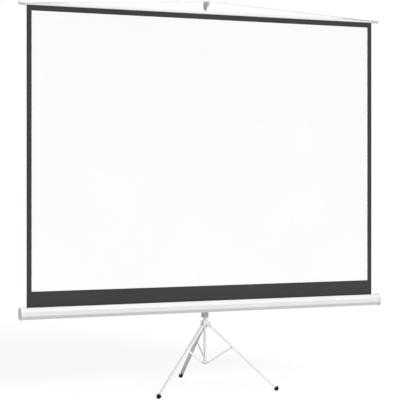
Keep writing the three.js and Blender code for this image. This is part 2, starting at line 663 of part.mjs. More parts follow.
function caseCap(side) {
  const grow = CAP_PROUD - CAP_BEVEL;
  const outline = octagon(CASE_DEPTH / 2 + grow, CASE_HEIGHT / 2 + grow, CASE_CHAMFER - CAP_BEVEL / 2);
  const shape = new THREE.Shape(outline.map(([u, v]) => new THREE.Vector2(u, v)));
  const cap = new THREE.ExtrudeGeometry(shape, {
    depth: CAP_LENGTH - 2 * CAP_BEVEL, bevelSize: CAP_BEVEL, bevelThickness: CAP_BEVEL, bevelSegments: 2,
  });
  cap.applyMatrix4(new THREE.Matrix4().makeBasis(AXIS_Y, AXIS_Z, AXIS_X));
  const inside = CASE_LENGTH / 2 - CAP_LENGTH;
  cap.translate(side > 0 ? inside + CAP_BEVEL : -CASE_LENGTH / 2 + CAP_BEVEL, CASE_Y, CASE_Z);
  const bore = alongX(cylinder(SPINDLE_RADIUS + RUNNING_GAP, inside - GAP, inside + CAP_BORE_DEPTH));
  return cut(cap, bore.rotateZ(side > 0 ? 0 : Math.PI).translate(0, CASE_Y, CASE_Z));
}

// Roller: a tube that turns on a fixed spindle at its left end and on a pin at its right end.
const SPINDLE_OUT_X = CASE_LENGTH / 2 - CAP_LENGTH + CAP_BORE_DEPTH - GAP;

function onCaseAxis(geometry) {
  return alongX(geometry).translate(0, CASE_Y, CASE_Z);
}

function rollerPlugLeft() {
  const bore = ROLLER_RADIUS - ROLLER_WALL - GAP;
  return onCaseAxis(ring(bore, SPINDLE_RADIUS + RUNNING_GAP, -ROLLER_HALF, -ROLLER_HALF + ROLLER_PLUG_DEPTH));
}

function rollerPlugRight() {
  const bore = ROLLER_RADIUS - ROLLER_WALL - GAP;
  return onCaseAxis(turned([
    [0, ROLLER_HALF - ROLLER_PLUG_DEPTH],
    [bore, ROLLER_HALF - ROLLER_PLUG_DEPTH],
    [bore, ROLLER_HALF],
    [bore - ROLLER_PLUG_RIM, ROLLER_HALF + ROLLER_PLUG_RIM],
    [SPINDLE_RADIUS, ROLLER_HALF + ROLLER_PLUG_RIM],
    [SPINDLE_RADIUS, SPINDLE_OUT_X],
    [0, SPINDLE_OUT_X],
  ], SMALL_SIDES));
}

function rollerSpindle() {
  return onCaseAxis(cylinder(SPINDLE_RADIUS, -SPINDLE_OUT_X, -SPINDLE_OUT_X + SPINDLE_LENGTH));
}

class Helix extends THREE.Curve {
  getPoint(t, target = new THREE.Vector3()) {
    const angle = 2 * Math.PI * SPRING_TURNS * t;
    const radius = SPINDLE_RADIUS + GAP + SPRING_WIRE_RADIUS * 1.2;
    return target.set(radius * Math.cos(angle), radius * Math.sin(angle), SPRING_PITCH * SPRING_TURNS * t);
  }
}

function torsionSpring() {
  const outline = arc(0, 0, SPRING_WIRE_RADIUS, 0, 288, 4);
  const section = new THREE.Shape(outline.map(([u, v]) => new THREE.Vector2(u, v)));
  const coil = new THREE.ExtrudeGeometry(section, { steps: SPRING_TURNS * 8, extrudePath: new Helix() });
  const start = -ROLLER_HALF + ROLLER_PLUG_DEPTH + GAP + 2 * SPRING_WIRE_RADIUS;
  return onCaseAxis(coil.translate(0, 0, start));
}

function clothTurns() {
  const outer = WOUND_RADIUS - CLOTH_THICKNESS / 2 - GAP;
  return onCaseAxis(ring(outer, ROLLER_RADIUS + GAP, -CLOTH_WIDTH / 2, CLOTH_WIDTH / 2));
}

function screenCloth() {
  const top = SLAT_MID_Z - HEM_ROD_RADIUS - GAP;
  const half = CLOTH_THICKNESS / 2;
  return box(-CLOTH_WIDTH / 2, CLOTH_WIDTH / 2, CLOTH_Y - half, CLOTH_Y + half, CASE_Z, top);
}

// Slat: a hollow profile, slotted below for the cloth's top hem, with an end cap and a bail eye at each end.
function topSlat() {
  const half = SLAT_DEPTH / 2;
  const hollow = half - SLAT_WALL;
  const groove = CLOTH_THICKNESS / 2 + GAP;
  const top = CLOTH_TOP_Z + SLAT_HEIGHT;
  const outline = roundedBox(-half, half, CLOTH_TOP_Z, top, SLAT_CORNER);
  const corner = SLAT_CORNER - SLAT_WALL;
  const inner = roundedBox(-hollow, hollow, CLOTH_TOP_Z + SLAT_WALL, top - SLAT_WALL, corner);
  const profile = prismX(outline, -SLAT_BODY_HALF, SLAT_BODY_HALF);
  const inside = prismX(inner, -SLAT_LENGTH, SLAT_LENGTH);
  const slot = box(-SLAT_LENGTH, SLAT_LENGTH, -groove, groove, CLOTH_TOP_Z - GAP, SLAT_MID_Z);
  return cut(profile, inside, slot).translate(0, CLOTH_Y, 0);
}

// Rod in the cloth's hem, too thick to pass out through the slat's slot.
function hemRod() {
  const rod = alongX(cylinder(HEM_ROD_RADIUS, -CLOTH_WIDTH / 2, CLOTH_WIDTH / 2));
  return rod.translate(0, CLOTH_Y, SLAT_MID_Z);
}

function slatCap(side) {
  const half = SLAT_DEPTH / 2 + SLAT_CAP_PROUD;
  const inside = SLAT_LENGTH / 2 - SLAT_CAP_LENGTH;
  const body = prismX(
    roundedBox(CLOTH_Y - half, CLOTH_Y + half,
      CLOTH_TOP_Z - SLAT_CAP_PROUD, CLOTH_TOP_Z + SLAT_HEIGHT + SLAT_CAP_PROUD, SLAT_CORNER),
    inside, SLAT_LENGTH / 2,
  );
  const eye = alongX(cylinder(BAIL_EYE_RADIUS, inside, SLAT_LENGTH / 2)).translate(0, BAIL_Y, SLAT_MID_Z);
  const hole = alongX(cylinder(BAIL_RADIUS + 2 * GAP, inside - GAP, inside + BAIL_IN_EYE + GAP));
  const cap = cut(join(body, eye), hole.translate(0, BAIL_Y, SLAT_MID_Z));
  return side > 0 ? cap : mirroredX(cap);
}

function mirroredX(geometry) {
  const turned = geometry.clone().scale(-1, 1, 1);
  const corners = turned.index.array;
  for (let i = 0; i < corners.length; i += 3) {
    [corners[i], corners[i + 1]] = [corners[i + 1], corners[i]];
  }
  turned.computeVertexNormals();
  return turned;
}

// Bail: a wire bent to a low peak, its straight ends held in the eyes of the slat's caps.
function wireBetween(start, end) {
  const along = end.clone().sub(start);
  const wire = cylinder(BAIL_RADIUS, 0, along.length(), SMALL_SIDES);
  const turn = new THREE.Quaternion().setFromUnitVectors(AXIS_Z, along.clone().normalize());
  return wire.applyQuaternion(turn).translate(start.x, start.y, start.z);
}

function bail() {
  const endX = SLAT_LENGTH / 2 - SLAT_CAP_LENGTH + BAIL_IN_EYE;
  const peak = new THREE.Vector3(0, BAIL_Y, BAIL_TOP_Z);
  const halves = [-1, 1].flatMap((side) => {
    const bend = new THREE.Vector3(side * BAIL_BEND_X, BAIL_Y, SLAT_MID_Z);
    const end = new THREE.Vector3(side * endX, BAIL_Y, SLAT_MID_Z);
    const knee = new THREE.SphereGeometry(BAIL_RADIUS, 12, 8).translate(bend.x, bend.y, bend.z);
    return [wireBetween(bend, peak), wireBetween(bend, end), knee];
  });
  const crest = new THREE.SphereGeometry(BAIL_RADIUS, 12, 8).translate(peak.x, peak.y, peak.z);
  return join(...halves, crest);
}

// The tripod: each leg, its foot, pin, brace and rivets lie in a group turned to the leg's azimuth.
function addLeg(parent, leg) {
  const plane = new THREE.Group();
  plane.rotation.z = azimuthOf(leg);
  parent.add(plane);
  const swing = new THREE.Group();
  swing.position.set(LEG_PIVOT_RADIUS, 0, LEG_PIVOT_Z);
  swing.rotation.y = -LEG_SPREAD;
  plane.add(swing);
  addPiece(swing, `leg_${leg.name}`, legChannel(), whitePaint());
  addPiece(swing, `foot_${leg.name}`, foot(), blackRubber());
  const grip = CHEEK_OUTER + GAP;
  const pin = alongY(headedPin(PIN_RADIUS, PIN_HEAD_RADIUS, PIN_HEAD, -grip, grip));
  addPiece(plane, `leg_pin_${leg.name}`, pin.translate(LEG_PIVOT_RADIUS, 0, LEG_PIVOT_Z), steel());
  const link = new THREE.Group();
  link.position.set(COLLAR_PIVOT_RADIUS, 0, COLLAR_PIVOT_Z);
  link.rotation.y = BRACE_TILT;
  plane.add(link);
  addPiece(link, `brace_${leg.name}`, brace(), whitePaint());
  addPiece(link, `brace_leg_rivet_${leg.name}`, braceLegRivet().translate(0, 0, BRACE_LENGTH), steel());
  addPiece(plane, `brace_collar_rivet_${leg.name}`, braceCollarRivet(), steel());
}

function addStand(parent) {
  addPiece(parent, 'leg_hub', legHub(), whitePlastic());
  addPiece(parent, 'hub_bush', hubBush(), greyPlastic());
  LEGS.forEach((leg) => addLeg(parent, leg));
  addPiece(parent, 'brace_collar', braceCollar(), whitePlastic());
  addPiece(parent, 'mast_tube', mastTube(), whitePaint());
  addPiece(parent, 'mast_end_plug', mastPlug(), whitePlastic());
  addPiece(parent, 'mast_top_collar', mastTopCollar(), greyPlastic());
  addPiece(parent, 'extension_rod', extensionRod(), aluminium());
  addPiece(parent, 'rod_guide_bush', rodBush(), blackPlastic());
  const collarBack = MAST_RADIUS + GAP + TOP_COLLAR_WALL;
  addPiece(parent, 'rod_lock_knob', lockKnob(collarBack, ROD_RADIUS + GAP, ROD_LOCK_Z), blackPlastic());
  addPiece(parent, 'hook_head', hookHead(), whitePlastic());
  addPiece(parent, 'hook_pin', hookPin(), steel());
}

function addCase(parent) {
  addPiece(parent, 'case_carrier', caseCarrier(), whitePlastic());
  addPiece(parent, 'case_lock_knob', lockKnob(CARRIER_BACK, MAST_RADIUS + GAP, CASE_LOCK_Z), blackPlastic());
  addPiece(parent, 'swivel_plate', swivelPlate(), steel());
  addPiece(parent, 'swivel_stud', swivelStud(), steel());
  addPiece(parent, 'case_shell', caseShell(), whitePaint());
  addPiece(parent, 'case_cap_left', caseCap(-1), whitePlastic());
  addPiece(parent, 'case_cap_right', caseCap(1), whitePlastic());
  const roller = ring(ROLLER_RADIUS, ROLLER_RADIUS - ROLLER_WALL, -ROLLER_HALF, ROLLER_HALF);
  addPiece(parent, 'roller_tube', onCaseAxis(roller), aluminium());
  addPiece(parent, 'roller_plug_left', rollerPlugLeft(), whitePlastic());
  addPiece(parent, 'roller_plug_right', rollerPlugRight(), whitePlastic());
  addPiece(parent, 'roller_spindle', rollerSpindle(), steel());
  addPiece(parent, 'torsion_spring', torsionSpring(), steel());
  addPiece(parent, 'cloth_turns', clothTurns(), screenVinyl());
}

function addScreen(parent) {
  addPiece(parent, 'screen_cloth', screenCloth(), screenVinyl());
  addPiece(parent, 'top_slat', topSlat(), whitePaint());
  addPiece(parent, 'hem_rod', hemRod(), steel());
  addPiece(parent, 'slat_cap_left', slatCap(-1), whitePlastic());
  addPiece(parent, 'slat_cap_right', slatCap(1), whitePlastic());
  addPiece(parent, 'bail', bail(), steel());
}

const projectionScreen = new THREE.Group();
addStand(projectionScreen);
addCase(projectionScreen);
addScreen(projectionScreen);

// The footprint's middle lies behind the mast, because one leg points straight back.
const bounds = new THREE.Box3().setFromObject(projectionScreen, true);
projectionScreen.position.y = -(bounds.min.y + bounds.max.y) / 2;

export default projectionScreen;
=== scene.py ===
"""Tripod projection screen: its finished pieces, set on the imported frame.

Shapes are worked out in millimetres about the mast's axis, with the floor at zero, and are written in metres
at the frame's own place. Most are a profile carried along a path, or a profile turned about an axis.
"""

import json

import bmesh
import bpy
import numpy as np
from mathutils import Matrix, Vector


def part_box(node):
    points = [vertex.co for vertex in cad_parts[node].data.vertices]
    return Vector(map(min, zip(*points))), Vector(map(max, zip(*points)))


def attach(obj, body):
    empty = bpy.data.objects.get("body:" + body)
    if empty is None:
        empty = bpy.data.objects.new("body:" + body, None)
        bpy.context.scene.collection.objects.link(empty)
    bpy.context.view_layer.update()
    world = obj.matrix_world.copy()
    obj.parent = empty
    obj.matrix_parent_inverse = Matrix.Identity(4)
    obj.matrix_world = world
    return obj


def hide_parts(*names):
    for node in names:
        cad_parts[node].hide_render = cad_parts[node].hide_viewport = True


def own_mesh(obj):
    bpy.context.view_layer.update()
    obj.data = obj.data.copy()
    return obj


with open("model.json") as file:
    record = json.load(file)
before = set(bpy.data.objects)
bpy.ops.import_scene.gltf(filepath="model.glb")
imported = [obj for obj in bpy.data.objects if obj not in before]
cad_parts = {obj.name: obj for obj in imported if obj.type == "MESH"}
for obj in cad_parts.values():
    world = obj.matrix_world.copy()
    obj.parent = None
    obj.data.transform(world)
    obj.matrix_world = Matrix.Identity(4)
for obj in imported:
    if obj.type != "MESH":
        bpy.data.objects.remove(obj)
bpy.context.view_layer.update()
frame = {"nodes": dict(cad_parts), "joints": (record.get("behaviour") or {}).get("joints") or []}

MM = 0.001
MAST_Y = sum(corner.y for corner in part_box("mast_tube")) / 2
JOINTS = {joint["name"]: joint for joint in frame["joints"]}


def span(node):
    """Low and high corner of a node's box, in millimetres about the mast's axis."""
    return [(np.array(corner) - (0, MAST_Y, 0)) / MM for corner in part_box(node)]


def pivot(joint):
    """Distance of a hinge from the mast's axis and its height, in millimetres."""
    x, y, z = np.array(JOINTS[joint]["pos_m"]) - (0, MAST_Y, 0)
    return np.hypot(x, y) / MM, z / MM


def travel(joint):
    """Length of a slide's range, in millimetres."""
    low, high = JOINTS[joint]["range_m"]
    return (high - low) / MM


# Clearance of a fit, wall of the case, legs and tubes, and the angle from which shading keeps an edge sharp
GAP = 0.3
WALL = 1.2
CREASE = np.radians(38)

# Case, and the roller on its axis
shell_low, shell_high = span("case_shell")
CASE_SHELL_HALF = shell_high[0]
CASE_Y, CASE_Z = (shell_low + shell_high)[1:] / 2
CASE_HALF_DEPTH, CASE_HALF_HEIGHT = (shell_high - shell_low)[1:] / 2
CASE_TOP_Z = shell_high[2]
CASE_CHAMFER = 19
CASE_BEND_OUTER = 3
CASE_BEND_INNER = 2
CASE_LIP = 5
SLOT_FRONT = 10
SLOT_BACK = 2
CAP_X, CASE_HALF = (corner[0] for corner in span("case_cap_right"))
CAP_PROUD = 3
CAP_CORNER = 7
CAP_BEVEL = 6
CAP_SCREW_REACH = 18
ROLLER_RADIUS = span("roller_tube")[1][2] - CASE_Z

# Slat and cloth
slat_low, slat_high = span("top_slat")
SLAT_BODY_HALF = slat_high[0]
SLAT_HALF_DEPTH = (slat_high - slat_low)[1] / 2
SLAT_LOW_Z, SLAT_TOP_Z = slat_low[2], slat_high[2]
SLAT_MID_Z = (SLAT_LOW_Z + SLAT_TOP_Z) / 2
SLAT_CORNER = 4
SLAT_WALL = 1.4
SLAT_CAP_X, SLAT_HALF = (corner[0] for corner in span("slat_cap_right"))
SLAT_CAP_PROUD = 0.8
SLAT_CAP_EDGE = 1.4
cloth_low, cloth_high = span("screen_cloth")
CLOTH_HALF = cloth_high[0]
CLOTH_Y = (cloth_low + cloth_high)[1] / 2
CLOTH_THICK = (cloth_high - cloth_low)[1]
HEM_Z = cloth_high[2]
SIDE_BORDER = 27.5
TOP_BORDER = 29
LEADER = 84
PICTURE_HALF = CLOTH_HALF - SIDE_BORDER
PICTURE_LOW_Z = CASE_TOP_Z + LEADER
PICTURE_TOP_Z = SLAT_LOW_Z - TOP_BORDER
WOUND_RADIUS = CLOTH_Y - CASE_Y

# Mast, rod and knobs
mast_low, mast_high = span("mast_tube")
MAST_RADIUS = mast_high[0]
MAST_BOTTOM_Z, MAST_TOP_Z = mast_low[2], mast_high[2]
MAST_BORE = MAST_RADIUS + GAP
rod_low, rod_high = span("extension_rod")
ROD_RADIUS = rod_high[0]
ROD_BOTTOM_Z, ROD_TOP_Z = rod_low[2], rod_high[2]
ROD_BORE = ROD_RADIUS + GAP
KNOB_RADIUS = 10
KNOB_LOBES = 5
KNOB_LOBE_RISE = 1.5
KNOB_THICK = 11
KNOB_EDGE = 2
KNOB_STUD = 3
KNOB_DISC = 5

# Carrier
CLAMP_HALF = 15
CLAMP_HEIGHT = 38
NECK_BACK_Y = 16
CARRIER_CORNER = 5
CARRIER_EDGE = 1.4
PLUG_RADIUS = 4.6

# Tripod
LEGS = {"rear": 90, "left": 210, "right": 330}
LEG_PIVOT = pivot("leg_fold_rear")
LEG_SPREAD = np.radians(47.4)
LEG_LENGTH = 507.5
LEG_HALF = span("leg_rear")[1][0]
LEG_DEPTH = 11
LEG_WEB = 6.8
LEG_LIP = LEG_WEB - LEG_DEPTH
LEG_ABOVE_PIVOT = 8
FOOT_RADIUS = 13
FOOT_GRIP = 9
FOOT_EDGE = 2
HUB_RADIUS = 18
HUB_TOP_RADIUS = 16
HUB_CROWN_RADIUS = 26
HUB_CROWN_LOW_Z = LEG_PIVOT[1] + 12
HUB_CROWN_TOP_Z = HUB_CROWN_LOW_Z + 14
HUB_BOTTOM_Z = LEG_PIVOT[1] + 4.5
HUB_TOP_Z = span("leg_hub")[1][2]
BUSH_RADIUS = MAST_BORE + 3.2
BUSH_FLANGE_RADIUS = BUSH_RADIUS + 2.4
BUSH_FLANGE_HEIGHT = 4
CHEEK_ROUND = 5
CHEEK_INNER = LEG_HALF + GAP
CHEEK_OUTER = CHEEK_INNER + 3
BRACE_REACH = 168.5
BRACE_HALF = 6
BRACE_EDGE = 0.6
BRACE_INNER, BRACE_OUTER = (corner[0] for corner in span("brace_rear"))
COLLAR_PIVOT = pivot("brace_fold_rear")
COLLAR_RADIUS = MAST_BORE + 3.6
COLLAR_HEIGHT = 18
LUG_OUTER = BRACE_INNER - GAP
LUG_THICK = 6

# Bail and hook
bail_low, bail_high = span("bail")
BAIL_RADIUS = (bail_high - bail_low)[1] / 2
BAIL_Y = (bail_low + bail_high)[1] / 2
BAIL_TOP_Z = bail_high[2] - BAIL_RADIUS
BAIL_END_X = bail_high[0]
BAIL_BEND_X = 2 * SLAT_CAP_X - BAIL_END_X
BOSS_RADIUS = BAIL_RADIUS + 2.7
hook_low, hook_high = span("hook_head")
HOOK_RADIUS = hook_high[0]
HOOK_NOSE_Y = hook_low[1]
HOOK_BOTTOM_Z, HOOK_TOP_Z = hook_low[2], hook_high[2]
HOOK_EDGE = 2.4
HOOK_ARM_HALF = 5.5
HOOK_PIN = 2.5

# Pins and rivets: radius of the shank, radius of the head and height of its dome
LEG_PIN = (2.5, 4.2, 1.8)
BRACE_RIVET = (2, 3.6, 1.4)
PLATE_RIVET = (1.8, 3.4, 1.5)
# Screws: radius and height of the head
CLAMP_SCREW = (4.5, 2)
CAP_SCREW = (3.8, 1.8)


# Materials

def linear(code):
    """Linear colour of an sRGB hex code: each channel through the sRGB curve, with alpha 1."""
    channel = np.array([int(code[i:i + 2], 16) for i in (1, 3, 5)]) / 255
    low, high = channel / 12.92, ((channel + 0.055) / 1.055) ** 2.4
    return (*np.where(channel <= 0.04045, low, high), 1.0)


def add(tree, kind, values=None, links=None, **settings):
    """Adds a node with its settings, its sockets' own values, and the outputs linked to its sockets."""
    node = tree.nodes.new(kind)
    for key, value in settings.items():
        setattr(node, key, value)
    for socket, value in (values or {}).items():
        node.inputs[socket].default_value = value
    for socket, source in (links or {}).items():
        tree.links.new(source, node.inputs[socket])
    return node


def begin(name, roughness, metallic=0.0, specular=0.5):
    """A material with one main shader, whose even values sit on the shader's own sockets."""
    material = bpy.data.materials.new(name)
    material.use_nodes = True
    tree = material.node_tree
    shader = tree.nodes["Principled BSDF"]
    shader.inputs["Roughness"].default_value = roughness
    shader.inputs["Metallic"].default_value = metallic
    shader.inputs["Specular IOR Level"].default_value = specular
    return material, tree, shader


def grained(
    name, tones, blotch_mm, grain_mm, relief_mm, gloss, metallic=0.0, specular=0.5, stretch=(1, 1, 1),
):
    """Finish that drifts between two tones over blotches, with a fine grain in its relief and gloss."""
    material, tree, shader = begin(name, gloss[0], metallic, specular)
    place = add(tree, "ShaderNodeTexCoord").outputs["Object"]
    place = add(tree, "ShaderNodeMapping", {"Scale": stretch}, {"Vector": place}).outputs["Vector"]
    blotch = add(
        tree, "ShaderNodeTexNoise", {"Scale": 1 / (blotch_mm * MM), "Detail": 3.0}, {"Vector": place},
    )
    grain = add(
        tree, "ShaderNodeTexNoise", {"Scale": 1 / (grain_mm * MM), "Detail": 2.0}, {"Vector": place},
    )
    tone = add(tree, "ShaderNodeValToRGB", links={"Fac": blotch.outputs["Fac"]})
    for stop, position, code in zip(tone.color_ramp.elements, (0.3, 0.7), tones):
        stop.position = position
        stop.color = linear(code)
    shine = add(
        tree, "ShaderNodeMapRange", {"To Min": gloss[0], "To Max": gloss[1]},
        {"Value": grain.outputs["Fac"]},
    )
    relief = add(
        tree, "ShaderNodeBump", {"Strength": 0.6, "Distance": relief_mm * MM},
        {"Height": grain.outputs["Fac"]},
    )
    tree.links.new(tone.outputs["Color"], shader.inputs["Base Color"])
    tree.links.new(shine.outputs["Result"], shader.inputs["Roughness"])
    tree.links.new(relief.outputs["Normal"], shader.inputs["Normal"])
    return material


def spangled(name, tones, crystal_mm, gloss):
    """Plated metal: each crystal of the plating has its own tone and gloss, from the cell that it lies in."""
    material, tree, shader = begin(name, gloss[0], metallic=1.0)
    place = add(tree, "ShaderNodeTexCoord").outputs["Object"]
    cell = add(tree, "ShaderNodeTexVoronoi", {"Scale": 1 / (crystal_mm * MM)}, {"Vector": place})
    shade = add(tree, "ShaderNodeSeparateColor", links={"Color": cell.outputs["Color"]}).outputs["Red"]
    tone = add(tree, "ShaderNodeValToRGB", links={"Fac": shade})
    for stop, code in zip(tone.color_ramp.elements, tones):
        stop.color = linear(code)
    shine = add(tree, "ShaderNodeMapRange", {"To Min": gloss[0], "To Max": gloss[1]}, {"Value": shade})
    tree.links.new(tone.outputs["Color"], shader.inputs["Base Color"])
    tree.links.new(shine.outputs["Result"], shader.inputs["Roughness"])
    return material


def woven(name, tones, thread_mm, relief_mm, shading, roughness, specular):
    """Coated cloth: two crossing sets of threads, a sine across each, raise the surface and shade the gaps.

    The shading leaves the mean tone as written, because the higher of two sines is at 0.7 on average.
    """
    material, tree, shader = begin(name, roughness, specular=specular)
    place = add(tree, "ShaderNodeUVMap", uv_map="cloth").outputs["UV"]
    bands = np.pi / (10 * thread_mm * MM)
    threads = [
        add(
            tree, "ShaderNodeTexWave", {"Scale": bands, "Distortion": 0.6, "Detail": 1.0}, {"Vector": place},
            bands_direction=direction,
        ).outputs["Fac"]
        for direction in ("X", "Y")
    ]
    height = add(tree, "ShaderNodeMath", links={0: threads[0], 1: threads[1]}, operation="MAXIMUM")
    relief = add(
        tree, "ShaderNodeBump", {"Strength": 0.4, "Distance": relief_mm * MM},
        {"Height": height.outputs["Value"]},
    )
    drift = add(tree, "ShaderNodeTexNoise", {"Scale": 2.2, "Detail": 2.0}, {"Vector": place})
    tone = add(tree, "ShaderNodeValToRGB", links={"Fac": drift.outputs["Fac"]})
    for stop, position, code in zip(tone.color_ramp.elements, (0.3, 0.7), tones):
        stop.position = position
        stop.color = linear(code)
    weave = add(
        tree, "ShaderNodeMapRange", {"To Min": 1 - 0.7 * shading, "To Max": 1 + 0.3 * shading},
        {"Value": height.outputs["Value"]},
    )
    shaded = add(
        tree, "ShaderNodeVectorMath",
        links={"Vector": tone.outputs["Color"], "Scale": weave.outputs["Result"]}, operation="SCALE",
    )
    tree.links.new(shaded.outputs["Vector"], shader.inputs["Base Color"])
    tree.links.new(relief.outputs["Normal"], shader.inputs["Normal"])
    return material


# Powder coat on steel, sprayed and baked: an even soft gloss with the shallow dimples of orange peel.
POWDER_COAT = grained("powder_coated_steel", ("#efefed", "#f3f3f1"), 60, 2.5, 0.05, (0.34, 0.42))
# Enamel on the case's folded steel, baked: the same soft gloss and dimples, in a slightly deeper white.
CASE_PAINT = grained("baked_enamel_steel", ("#e3e3e1", "#e7e7e5"), 80, 2.5, 0.05, (0.34, 0.42))
# ABS, moulded in a spark-eroded tool: a fine even grain that dulls the gloss.
WHITE_ABS = grained("moulded_white_abs", ("#e6e6e4", "#ececea"), 40, 0.9, 0.05, (0.42, 0.52))
# The carrier's white ABS, with the same grain, in a greyer tone that is painted shade for the deeper shadow
# it sits in under the case.
CARRIER_ABS_PAINTED_SHADE = grained("white_abs_with_painted_shade", ("#d4d4d2", "#dcdcda"), 40, 0.9, 0.05, (0.42, 0.52))
# The same ABS in grey, whose darker pigment shows the flow of the moulding as soft clouds.
GREY_ABS = grained("moulded_grey_abs", ("#989a9b", "#b0b1b2"), 8, 0.9, 0.06, (0.45, 0.6))
# Glass-filled nylon, moulded black: the fibres leave a faint dull fleck.
BLACK_NYLON = grained("moulded_black_nylon", ("#1d1e1f", "#2a2b2c"), 9, 0.8, 0.06, (0.4, 0.6))
# Rubber, moulded and unpainted: dull, with a grey bloom of dust in its grain.
BLACK_RUBBER = grained(
    "moulded_black_rubber", ("#0a0a0a", "#151515"), 7, 1.2, 0.1, (0.75, 0.92), specular=0.2,
)
# Aluminium tube, drawn and anodised: long fine draw lines that run along it.
DRAWN_ALUMINIUM = grained(
    "anodised_aluminium", ("#8f9193", "#a5a7a9"), 30, 1.2, 0.02, (0.28, 0.44), 1.0, stretch=(1, 1, 0.03),
)
# Steel, zinc-plated in a barrel: pale crystals of slightly different tone and gloss.
ZINC_STEEL = spangled("zinc_plated_steel", ("#b4b6b8", "#cfd1d2"), 2.5, (0.25, 0.45))
# Steel wire, hard-drawn and left bare but for its oil: darker than plating, with fine lines along it.
DRAWN_WIRE = grained(
    "hard_drawn_steel_wire", ("#aeb0b2", "#bec0c2"), 20, 0.8, 0.02, (0.3, 0.45), 1.0, stretch=(0.03, 1, 1),
)
# Glass-fibre cloth coated matt white: it scatters light evenly. In all three cloths, threads a third as wide
# as these would be lost, so the weave is drawn coarser than it is.
PICTURE_WHITE = woven("matt_white_coated_cloth", ("#fafaf9", "#fcfcfb"), 1.2, 0.04, 0.05, 0.9, 0.2)
# The same cloth with a printed black border: the ink is a dull dark grey.
BORDER_BLACK = woven("black_printed_cloth", ("#353533", "#3b3b38"), 1.2, 0.06, 0.4, 0.8, 0.3)
# Its back is coated black, so that no light passes through.
BACKING_BLACK = woven("black_coated_cloth_back", ("#191919", "#242424"), 1.2, 0.08, 0.5, 0.85, 0.3)


# Outlines, rings of points and skins

def rounded(corners, radius, steps=5):
    """Polygon whose corners become arcs, each centred on its corner's bisector, a radius from both sides."""
    corner = np.asarray(corners, float)
    reach = np.broadcast_to(np.asarray(radius, float), len(corner))[:, None]
    back = np.roll(corner, 1, 0) - corner
    ahead = np.roll(corner, -1, 0) - corner
    back /= np.linalg.norm(back, axis=1, keepdims=True)
    ahead /= np.linalg.norm(ahead, axis=1, keepdims=True)
    half = np.arccos(np.clip((back * ahead).sum(1, keepdims=True), -1, 1)) / 2
    bisector = (back + ahead) / np.linalg.norm(back + ahead, axis=1, keepdims=True)
    centre = corner + bisector * reach / np.sin(half)
    start = (corner + back * reach / np.tan(half) - centre)[:, None]
    end = (corner + ahead * reach / np.tan(half) - centre)[:, None]
    sweep = (np.pi - 2 * half)[:, None]
    share = np.linspace(0, 1, steps)[None, :, None]
    arc = (np.sin((1 - share) * sweep) * start + np.sin(share * sweep) * end) / np.sin(sweep)
    return (centre[:, None] + arc).reshape(-1, 2)


def rectangle(u0, u1, v0, v1, radius, steps=5):
    """Rectangle with rounded corners, listed anticlockwise."""
    return rounded([(u0, v0), (u1, v0), (u1, v1), (u0, v1)], radius, steps)


def octagon(grow, radius):
    """The case's eight-sided outline, grown all round, with rounded corners, listed anticlockwise.

    Half depth, half height and chamfer are u, v and c.
    """
    u, v = CASE_HALF_DEPTH + grow, CASE_HALF_HEIGHT + grow
    c = CASE_CHAMFER + grow * (2 - np.sqrt(2))
    corners = [
        (u, c - v), (u, v - c), (u - c, v), (c - u, v), (-u, v - c), (-u, c - v), (c - u, -v), (u - c, -v),
    ]
    return rounded(corners, radius) + (CASE_Y, CASE_Z)


def drawn_in(outline, inset):
    """Outlines moved inwards, one for each inset: corners go along their mitres, so sides move equally."""
    along = np.roll(outline, -1, 0) - outline
    along /= np.linalg.norm(along, axis=1, keepdims=True)
    inward = np.stack([-along[:, 1], along[:, 0]], 1)
    before = np.roll(inward, 1, 0)
    mitre = (inward + before) / (1 + (inward * before).sum(1, keepdims=True))
    return outline + mitre * np.asarray(inset, float)[:, None, None]


def plate(outline, low, high, edge, steps=4):
    """Rings of a plate: its outline from low to high, drawn in along a quarter circle at both faces."""
    turn = np.linspace(0, np.pi / 2, steps)
    inset = edge * (1 - np.cos(turn))
    lift = edge * (1 - np.sin(turn))
    height = np.concatenate([low + lift[::-1], high - lift])
    flat = drawn_in(outline, np.concatenate([inset[::-1], inset]))
    return np.concatenate([flat, np.broadcast_to(height[:, None, None], (*flat.shape[:2], 1))], 2)


def carried(profile, low, high):
    """Two rings: the profile at the low and at the high end of a straight path."""
    ends = np.broadcast_to(np.array([low, high])[:, None, None], (2, len(profile), 1))
    return np.concatenate([np.broadcast_to(profile, (2, *profile.shape)), ends], 2)


def turned(profile, sides=48):
    """Rings of a round shape: each point of a profile of radius and height goes round the axis."""
    radius, height = np.asarray(profile, float).T[:, :, None]
    angle = np.linspace(0, 2 * np.pi, sides, endpoint=False)[None]
    around = radius * np.cos(angle), radius * np.sin(angle)
    return np.stack([*around, np.broadcast_to(height, around[0].shape)], 2)


def bored(outline, low, high, edge, bore):
    """Rings of a block with a round hole, on even rays from the axis.

    Each ray has a point where it meets the nearest side, and one on the hole's circle.
    """
    along = np.roll(outline, -1, 0) - outline
    outward = np.stack([along[:, 1], -along[:, 0]], 1)
    angle = np.linspace(0, 2 * np.pi, 120, endpoint=False)
    ray = np.stack([np.cos(angle), np.sin(angle)], 1)
    leaving = ray @ outward.T
    side = (outward * outline).sum(1)
    reach = np.where(leaving > 0, side / np.where(leaving > 0, leaving, 1), np.inf).min(1, keepdims=True)
    return np.concatenate([plate(ray * reach, low, high, edge), carried(ray * bore, high, low)])


def headed(shank, head, height, low, high):
    """Rings of a pin from one domed head to the other: each dome is a quarter ellipse."""
    turn = np.linspace(0.15, np.pi / 2, 6)
    radius, lift = head * np.sin(turn), height * np.cos(turn)
    under = np.stack([radius, low - lift], 1)
    over = np.stack([radius, high + lift], 1)[::-1]
    return turned(np.concatenate([under, [(shank, low), (shank, high)], over]), 24)


